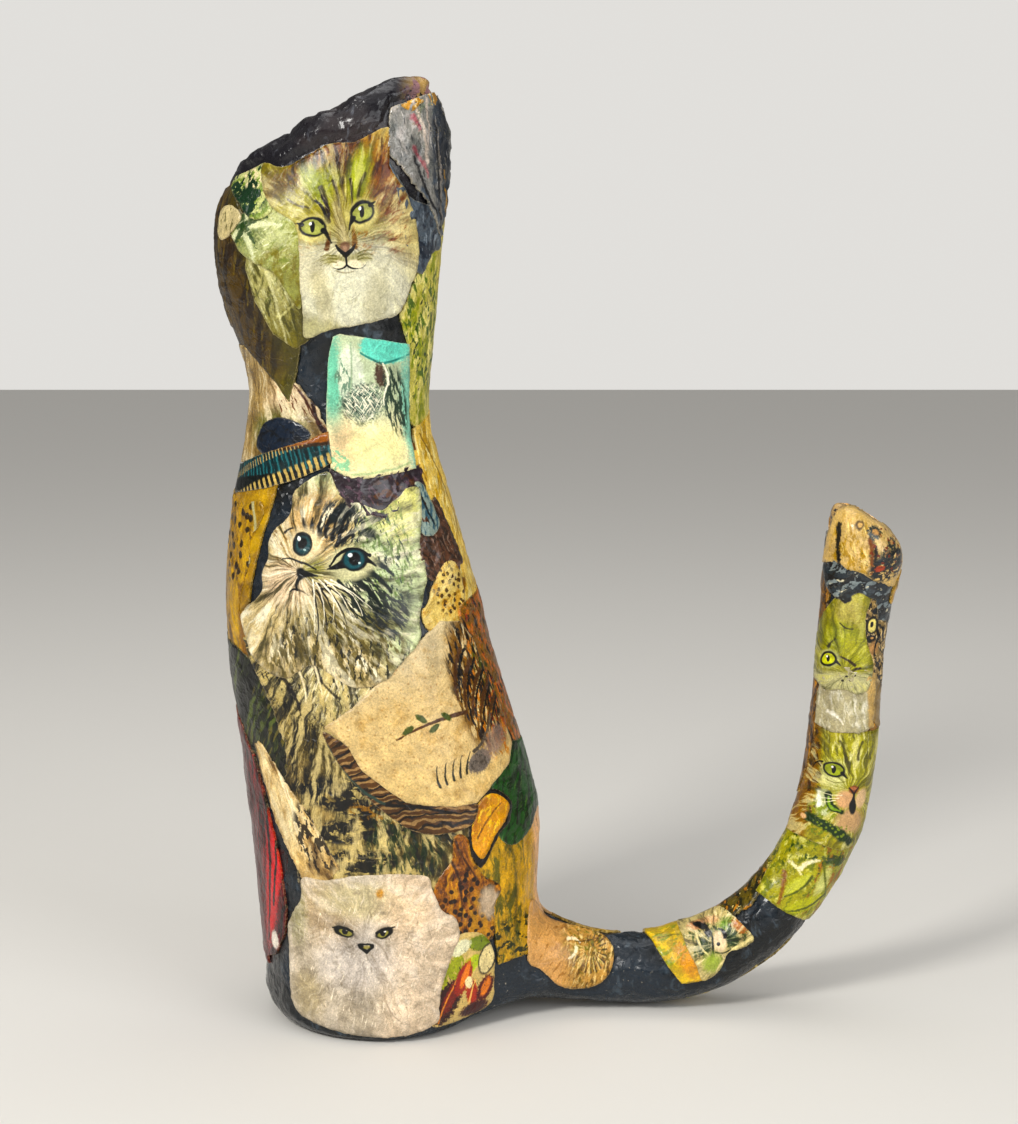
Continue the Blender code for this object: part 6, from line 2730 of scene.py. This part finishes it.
        strip = Print("a3906c", (
            Blotch((0, 0), (8, 22), "1c140e", (2.4, 3), 0.47, 0.06, 20),
            Blotch((0, 0), (8, 22), "dccaa6", (1.6, 2.6), 0.54, 0.06, 20),
            Oval((-2.2, 3.6), (2.5, 3.3), dark, 0, 0.15, 0.4),
            Oval((-2.1, 3.5), (1.7, 2.4), "e6dca0", 0, 0.15, 0.3),
            Oval((-2.3, 3.8), (0.7, 1.1), dark, 0, 0.2), Oval((-2.4, -1.3), (2, 1.4), dark, 0, 0.2, 0.4),
            Oval((-2, -1), (0.7, 0.4), "c9a77e", 0, 0.3),
            Oval((-0.8, -4.6), (2, 2.2), "c3a27c", 0, 0.4, 0.8),
            Line((0.4, 7), (1.2, -1), dark, 0.5, 0.7, -0.8, 0.2, 0.6),
            Line((1.2, -1), (-0.6, -7), dark, 0.6, 0.3, -0.6, 0.2, 0.6),
            Oval((-1.2, 8.7), (1.4, 1.4), "1c2733", 0, 0.3, 0.8),
        ))
        band = Print("37434c", (
            Blotch((0, 0), (36, 20), "161d26", (7, 3), 0.46, 0.06, 16),
            Blotch((0, 0), (36, 20), "8b959a", (5, 3), 0.55, 0.04, 30),
            Blotch((4, -2), (36, 20), "d3d0c0", (5.5, 2.6), 0.62, 0.05, 12),
        ), 0.5)
        tip = Print("d6c092", (
            Blotch((-7, 0), (9, 12), "b99c4a", (2.4, 5), 0.46, 0.14, 8),
            Blotch((6, 2), (12, 12), "e9d3aa", (2.4, 3), 0.46, 0.12),
            Blotch((-4, 0), (7, 12), "ead9a6", (1.2, 5), 0.54, 0.1, 14, 0.9),
            Line((-12.6, 8), (-11, -4), "15130d", 1, 0.6, 0, 0.4, 2),
            Line((-1, 5), (-0.4, -7), "8c5a3c", 0.9, 0.6, 0.5, 0.5, 1.6, 0.9),
            Line((0.8, 3), (1, -8), "3a2c1c", 0.6, 0.8, 0, 0.4, 1.6),
            *(
                Oval((x, y), (2.6, 2), "46514e", 20, 0.3, 2)
                for x, y in ((0.4, 7.4), (7.8, 4.4), (11.6, -1), (5, 0.4))
            ),
            *(
                Oval((x, y), (1.3, 0.9), "cfae86", 20, 0.4, 1.5)
                for x, y in ((0.8, 7.4), (7.6, 4.7), (11.3, -0.6), (5, 0.8))
            ),
            Oval((-5, 8.6), (1.6, 1.2), "7f6c4c", 10, 0.3, 0.6),
            Oval((-4.8, 8.6), (0.9, 0.6), "d9bd8e", 10, 0.3, 0.6),
            Blotch((5, 0), (11, 9), "6d6a4a", (1.6, 2.4), 0.56, 0.08, 30, 0.9),
            Blotch((7, -4), (10, 6), "1d2a33", (3, 1.8), 0.42, 0.06, 30, 0.95),
            Line((2.6, -1.6), (7.4, -6), "1d2a33", 0.9, 0.5, 0.8, 0.3, 2),
            Oval((2.4, -4.6), (1.8, 1.3), "bf5a30", 20, 0.3, 1),
            Spots((7, 2), (9, 10), "8c4a34", 3.4, 0.1, 20, 0.6),
        ), 0.45)
        bit = Print("c9a53a", (Blotch((0, 0), (6, 8), "8a7420", (2, 3), 0.5),), 0.5)
        return (
            Paper("tail_inner_high", edge, (
                (-13, 150), (-12, 170), (-13, 190), (-14, 206), (-26, 208), (-27, 180), (-26, 150),
                (-25, 130), (-20, 128),
            ), (-22, 172), Cut.TORN),
            Paper("tail_strip", strip, (
                (2, 204), (12, 206), (22, 204), (24, 180), (22, 158), (10, 158), (7, 172), (2.4, 184),
                (0.6, 195),
            ), (7, 190)),
            Paper("tail_pale", pale, (
                (-12.5, 157), (-6, 154.8), (3, 155), (8.6, 156.6), (8.8, 176), (2, 178), (-8, 178),
                (-13, 176),
            ), (-2, 166), Cut.STRAIGHT, wrinkles=0.6),
            Paper("tail_green_face", face, (
                (-20, 179), (-19, 186), (-14, 195), (-8, 203), (-2, 206), (1.6, 203), (1.6, 196), (3, 188),
                (6.4, 180), (6, 172), (2, 168.6), (-3, 170), (-9, 169), (-14, 171), (-19, 173),
            ), (-4, 185)),
            Paper("marbled_band", band, (
                (-34, 214), (-22, 212), (-14, 203), (-6, 199.6), (-3, 204), (4, 203), (6, 196), (12, 194.6),
                (20, 198), (34, 200), (34, 218), (16, 219), (4, 217), (-10, 218), (-34, 220),
            ), (0, 209), Cut.TORN),
            Paper("peach_tip", tip, (
                (-22, 212.5), (-12, 213.6), (-2, 211), (6, 208.4), (14, 207.8), (19, 211), (18, 221),
                (8, 228), (-8, 228), (-18, 222),
            ), (0, 217), Cut.TORN),
            Paper("yellow_bit", bit, (
                (11, 202), (16, 203), (19, 211), (17, 213), (13, 210), (11, 206),
            ), (15, 207)),
        )


class FarSide:
    """The plainer cut-outs of the hidden side, from the crown to the base and along the tail."""

    @staticmethod
    def kitten_face(
        base: Ink, coat: Ink, light: Ink, dark: Ink, mark: Ink, iris: Ink, size: float = 1.0,
    ) -> Print:
        """A kitten's face with a pale ruff.

        Args:
            base: The bare paper.
            coat: The patches on the forehead and the cheeks.
            light: The light hairs.
            dark: The dark hairs.
            mark: The bars on the brow and the cheeks.
            iris: The eyes.
            size: How big the face is.

        Returns:
            The print.
        """
        marks = (
            Oval((0, 22 * size), (24 * size, 16 * size), coat, 0, 0.5, 1.5),
            Blotch((0, 24 * size), (24 * size, 16 * size), mark, (2, 6), 0.54, 0.08, 0, 0.7),
            Oval((0, -14 * size), (20 * size, 13 * size), light, 0, 0.5, 1),
            Fur(light, dark, (0, 4), 12, 9, 0.7, 3),
            Kitten(iris, mark, light, size),
        )
        return Print(base, marks, 0.2, 0.25, 0.3)

    @staticmethod
    def streaks(base: Ink, dark: Ink, light: Ink, grain: Point = (2, 8), turn: float = 0.0) -> Print:
        """Dark and light streaks over a whole paper.

        Args:
            base: The bare paper.
            dark: The dark streaks.
            light: The light streaks.
            grain: How wide and how long the streaks are.
            turn: How far they lean, in degrees.

        Returns:
            The print.
        """
        size = (60, 60)
        return Print(base, (
            Blotch((0, 0), size, dark, grain, 0.5, 0.08, turn),
            Blotch((3, 2), size, light, grain, 0.56, 0.06, turn),
        ))

    @classmethod
    def head(cls) -> tuple[Paper, ...]:
        """The crumpled ear, the papers round the neck and the ginger face.

        Returns:
            The papers, in the order in which they are glued on.
        """
        ginger = cls.kitten_face("c08a45", "a8662a", "ead9b0", "6b4018", "4a220c", "93a63a")
        green = Print("7d8a3c", (
            Blotch((0, 0), (30, 30), "46581f", (3, 9), 0.5, 0.08, 30),
            *(
                Oval((k * 9 - 18, k * 7 % 11 - 6), (2.6, 8), "b7bd62", 40 - k * 17, 0.2, 1)
                for k in range(5)
            ),
            *(
                Line((k * 9 - 21, k * 7 % 11 - 11), (k * 9 - 15, k * 7 % 11), "e3e4ae", 0.4, 0.2, 0.6)
                for k in range(5)
            ),
        ))
        band = Print("1d474b", (
            Stripes((0, 0), (90, 30), "4b858c", 1.8, 86, 0, 1.6, 0, 1.5, 0.8),
            Wash((0, -3), "10211f", 178, 0.3, 0.5), Wash((0, 3.6), "8a6030", -2, 0.3, 0.8),
        ), 0.1, 0.3, 0.1)
        return (
            Paper("far_ear", Stock.GREY, (
                (-18, 312), (-34, 312), (-50, 311), (-56, 298), (-54, 280), (-45, 268), (-32, 276),
                (-22, 290), (-16, 302),
            ), (-38, 290), Cut.TORN, wrinkles=0.7),
            Paper("far_olive", Stock.OLIVE, (
                (78, 302), (60, 304), (44, 306), (30, 297), (18, 282), (10, 262), (12, 244), (20, 226),
                (36, 222), (56, 226), (78, 236),
            ), (38, 266), Cut.STRAIGHT, 160, wrinkles=0.3),
            Paper("far_strip", Stock.STRIP, (
                (-54, 296), (-60, 292), (-66, 280), (-68, 250), (-64, 228), (-60, 214), (-46, 210),
                (-30, 212), (-24, 224), (-24, 240), (-32, 258), (-46, 268), (-52, 284),
            ), (-44, 242), Cut.TORN, 180),
            Paper("far_green", green, (
                (-26, 248), (0, 242), (22, 240), (38, 228), (44, 214), (40, 200), (20, 196), (0, 198),
                (-20, 200), (-34, 208), (-34, 232),
            ), (2, 220)),
            Paper("far_band", band, (
                (-76, 205), (-56, 204), (-36, 201), (-16, 198), (6, 194), (30, 192), (52, 192), (76, 194),
                (76, 184), (52, 181), (30, 181), (6, 183), (-16, 187), (-36, 191), (-56, 193), (-76, 194),
            ), (0, 190), Cut.STRAIGHT, -2),
            Paper("far_face", ginger, (
                (-25, 304), (-20, 299), (-12, 295.6), (0, 297), (12, 296), (21, 300), (26, 304), (28, 292),
                (29, 278), (27, 262), (21, 251), (10, 245), (0, 246), (-12, 244), (-21, 250), (-27, 262),
                (-29, 278), (-27, 292),
            ), (0, 266), wrinkles=0.15),
        )

    @classmethod
    def body(cls) -> tuple[Paper, ...]:
        """The tabby face on the chest and the fur, the bark, the leaves and the grass round it.

        Returns:
            The papers, in the order in which they are glued on.
        """
        tabby = cls.kitten_face("a39a72", "7f7a52", "e6e0c4", "40401f", "1f2016", "4d7f86", 1.15)
        white = cls.kitten_face("d8c8b0", "cdbfa6", "f5ecdc", "8f826a", "b9a484", "c39a2c", 0.95)
        fur = Print("857b50", (
            Blotch((0, 16), (40, 30), "bfb086", (5, 9), 0.46, 0.12, 14),
            Fur("e6dbb6", "1e1d12", (0, 60), 30, 10, 0.95, 3.5),
            Blotch((0, -14), (36, 22), "10151a", (6, 4), 0.48, 0.07, -6, 0.9),
            Fur("e6dbb6", "16160d", (0, 50), 40, 7, 0.7, 3.5),
        ))
        card = Print("e4cfa4", (
            Blotch((0, 0), (40, 40), "d2b27c", (9, 9), 0.5, 0.2, 0, 0.8),
            Line((-14, -12), (12, 10), "5a4420", 0.5, 0.8, 1.5, 0.2, 0.6),
            *(
                Oval((-11 + k * 5, 4 - k * 3 % 5 + k * 2), (1.6, 4), "6c7a30", k * 50, 0.2, 0.8)
                for k in range(5)
            ),
            *(Oval((-8 + k * 6, -12 + k * 4), (1.5, 1.5), "a8482a", 0, 0.25, 1) for k in range(4)),
        ), 0.15, 0.2, 0.3)
        return (
            Paper("far_gold", Stock.GOLD, (
                (-30, 197), (-44, 200), (-62, 202), (-80, 202), (-80, 150), (-62, 144), (-44, 142),
                (-34, 156), (-28, 174),
            ), (-50, 172), Cut.STRAIGHT, 14),
            Paper("far_bark", Stock.BARK, (
                (-36, 148), (-50, 152), (-66, 154), (-84, 152), (-84, 74), (-60, 72), (-40, 80), (-38, 112),
            ), (-58, 116), turn=30),
            Paper("far_cub", Stock.CUB, (
                (84, 190), (60, 187), (42, 183), (32, 172), (34, 150), (38, 136), (50, 124), (84, 122),
            ), (50, 158), turn=180),
            Paper("far_hip", Stock.OCHRE, (
                (-46, 78), (-70, 80), (-86, 78), (-86, 60), (-78, 40), (-72, 31), (-60, 25), (-44, 22),
                (-34, 36), (-30, 54), (-34, 70),
            ), (-52, 52), Cut.STRAIGHT, 180),
            Paper("far_fur", fur, (
                (-38, 140), (-16, 140), (16, 138), (42, 140), (50, 112), (46, 84), (38, 62), (10, 54),
                (-16, 54), (-36, 60), (-42, 88), (-44, 114),
            ), (2, 98), Cut.TORN),
            Paper("far_grass", Stock.GRASS, (
                (82, 126), (60, 126), (44, 120), (34, 106), (32, 90), (46, 80), (62, 78), (82, 80),
            ), (54, 104), Cut.TORN, 140),
            Paper("far_red", Stock.RED, (
                (82, 86), (60, 88), (46, 80), (38, 62), (36, 40), (46, 24), (60, 20), (82, 20),
            ), (50, 56), Cut.STRAIGHT, 178),
            Paper("far_card", card, (
                (-36, 116), (-20, 122), (-4, 118), (12, 108), (14, 94), (8, 82), (-8, 76), (-26, 76),
                (-36, 84), (-42, 100),
            ), (-14, 99), Cut.STRAIGHT, wrinkles=0.15),
            Paper("far_tabby", tabby, (
                (-26, 192), (-20, 191), (-13, 184.6), (0, 183), (12, 184), (20, 190), (27, 191), (31, 180),
                (34, 166), (35, 150), (30, 138), (20, 129), (4, 124), (-12, 126), (-24, 133), (-32, 144),
                (-34, 160), (-30, 178),
            ), (0, 154), wrinkles=0.15),
            Paper("far_white", white, (
                (-26, 62), (-20, 63), (-12, 58), (2, 57), (14, 59), (20, 64), (27, 60), (32, 46), (36, 30),
                (33, 14), (20, 6), (0, 4.6), (-18, 6), (-28, 16), (-33, 32), (-31, 50),
            ), (0, 30)),
            Paper("far_leaf", Stock.LEAVES, (
                (-52, 30), (-44, 38), (-34, 38), (-28, 28), (-26, 16), (-30, 7), (-42, 5), (-54, 8),
                (-58, 18),
            ), (-42, 22), turn=150),
        )

    @classmethod
    def tail(cls) -> tuple[Paper, ...]:
        """The streaked papers of the tail, one kitten's face and the end's patterned bits.

        Returns:
            The papers, in the order in which they are glued on.
        """
        face = cls.kitten_face("aaa552", "8d8f2c", "e6e2b0", "5a5c18", "3c3c10", "d8c86a", 0.7)
        marbled = cls.streaks("2b363f", "161d26", "c9c8ba", (3, 3))
        return (
            Paper("far_tail_wing", cls.streaks("b59c5c", "7f6a2c", "e6d29c", (3, 6), 60), (
                (-20, -12), (-4, -14), (12, -10), (20, 2), (18, 16), (6, 22), (-8, 20), (-18, 8),
            ), (0, 4)),
            Paper(
                "far_tail_yellow", cls.streaks("c2ad2c", "8f9426", "ead060", (4, 4)),
                ((-18, 32), (0, 29), (18, 33), (22, 44), (14, 52), (-2, 50), (-20, 52), (-22, 42)), (0, 41),
                Cut.STRAIGHT,
            ),
            Paper(
                "far_tail_fur", cls.streaks("8a7c46", "35331a", "dccf9e", (1.6, 5), 30),
                ((-20, 58), (-4, 55), (14, 58), (22, 68), (20, 82), (4, 88), (-12, 86), (-22, 76)), (0, 71),
                Cut.TORN,
            ),
            Paper(
                "far_tail_leaf", cls.streaks("a8a040", "6c7418", "e4dea0", (2.4, 6), -30),
                ((-30, 92), (-14, 88), (6, 88), (28, 92), (30, 108), (28, 124), (0, 128), (-28, 124)),
                (0, 106), Cut.STRAIGHT,
            ),
            Paper("far_tail_ochre", cls.streaks("a8812c", "6a4a14", "d2ac50", (2.4, 9)), (
                (-30, 120), (-10, 118), (10, 120), (30, 122), (30, 160), (10, 164), (-12, 162), (-30, 160),
            ), (0, 141), Cut.TORN),
            Paper("far_tail_face", face, (
                (-18, 204), (-12, 200), (0, 200), (12, 200), (18, 204), (20, 192), (20, 178), (14, 168),
                (0, 164), (-14, 168), (-20, 178), (-20, 192),
            ), (0, 180)),
            Paper("far_tail_band", marbled, (
                (-34, 214), (-18, 210), (0, 206), (18, 204), (34, 206), (34, 217), (16, 217), (0, 219),
                (-18, 221), (-34, 220),
            ), (0, 212), Cut.TORN),
            Paper(
                "far_tail_tip", cls.streaks("d9b684", "a3782c", "f0d6a8", (3, 4), 20),
                ((-14, 221), (0, 219), (14, 217), (17, 222), (8, 228), (-8, 228)), (0, 222), Cut.TORN,
            ),
        )


def main() -> None:
    """Builds the cat's looks in order and reports each piece."""
    logging.basicConfig(level=logging.INFO, format="%(name)s: %(message)s")
    Studio().set_up()
    near, far = NearSide, FarSide
    layers = (
        (Side.FAR_BODY, (*far.head(), *far.body())),
        (Side.FAR_TAIL, far.tail()),
        (Side.NEAR_BODY, (*near.back(), *near.neck(), *near.head(), *near.chest())),
        (Side.NEAR_BODY, (*near.kitten(), *near.flank(), *near.kitten_head(), *near.base())),
        (Side.NEAR_BODY, near.face()),
        (Side.NEAR_TAIL, (*Tail.root(), *Tail.middle(), *Tail.top())),
    )
    Cat(Skin(), layers).build()


if __name__ == "__main__":
    main()
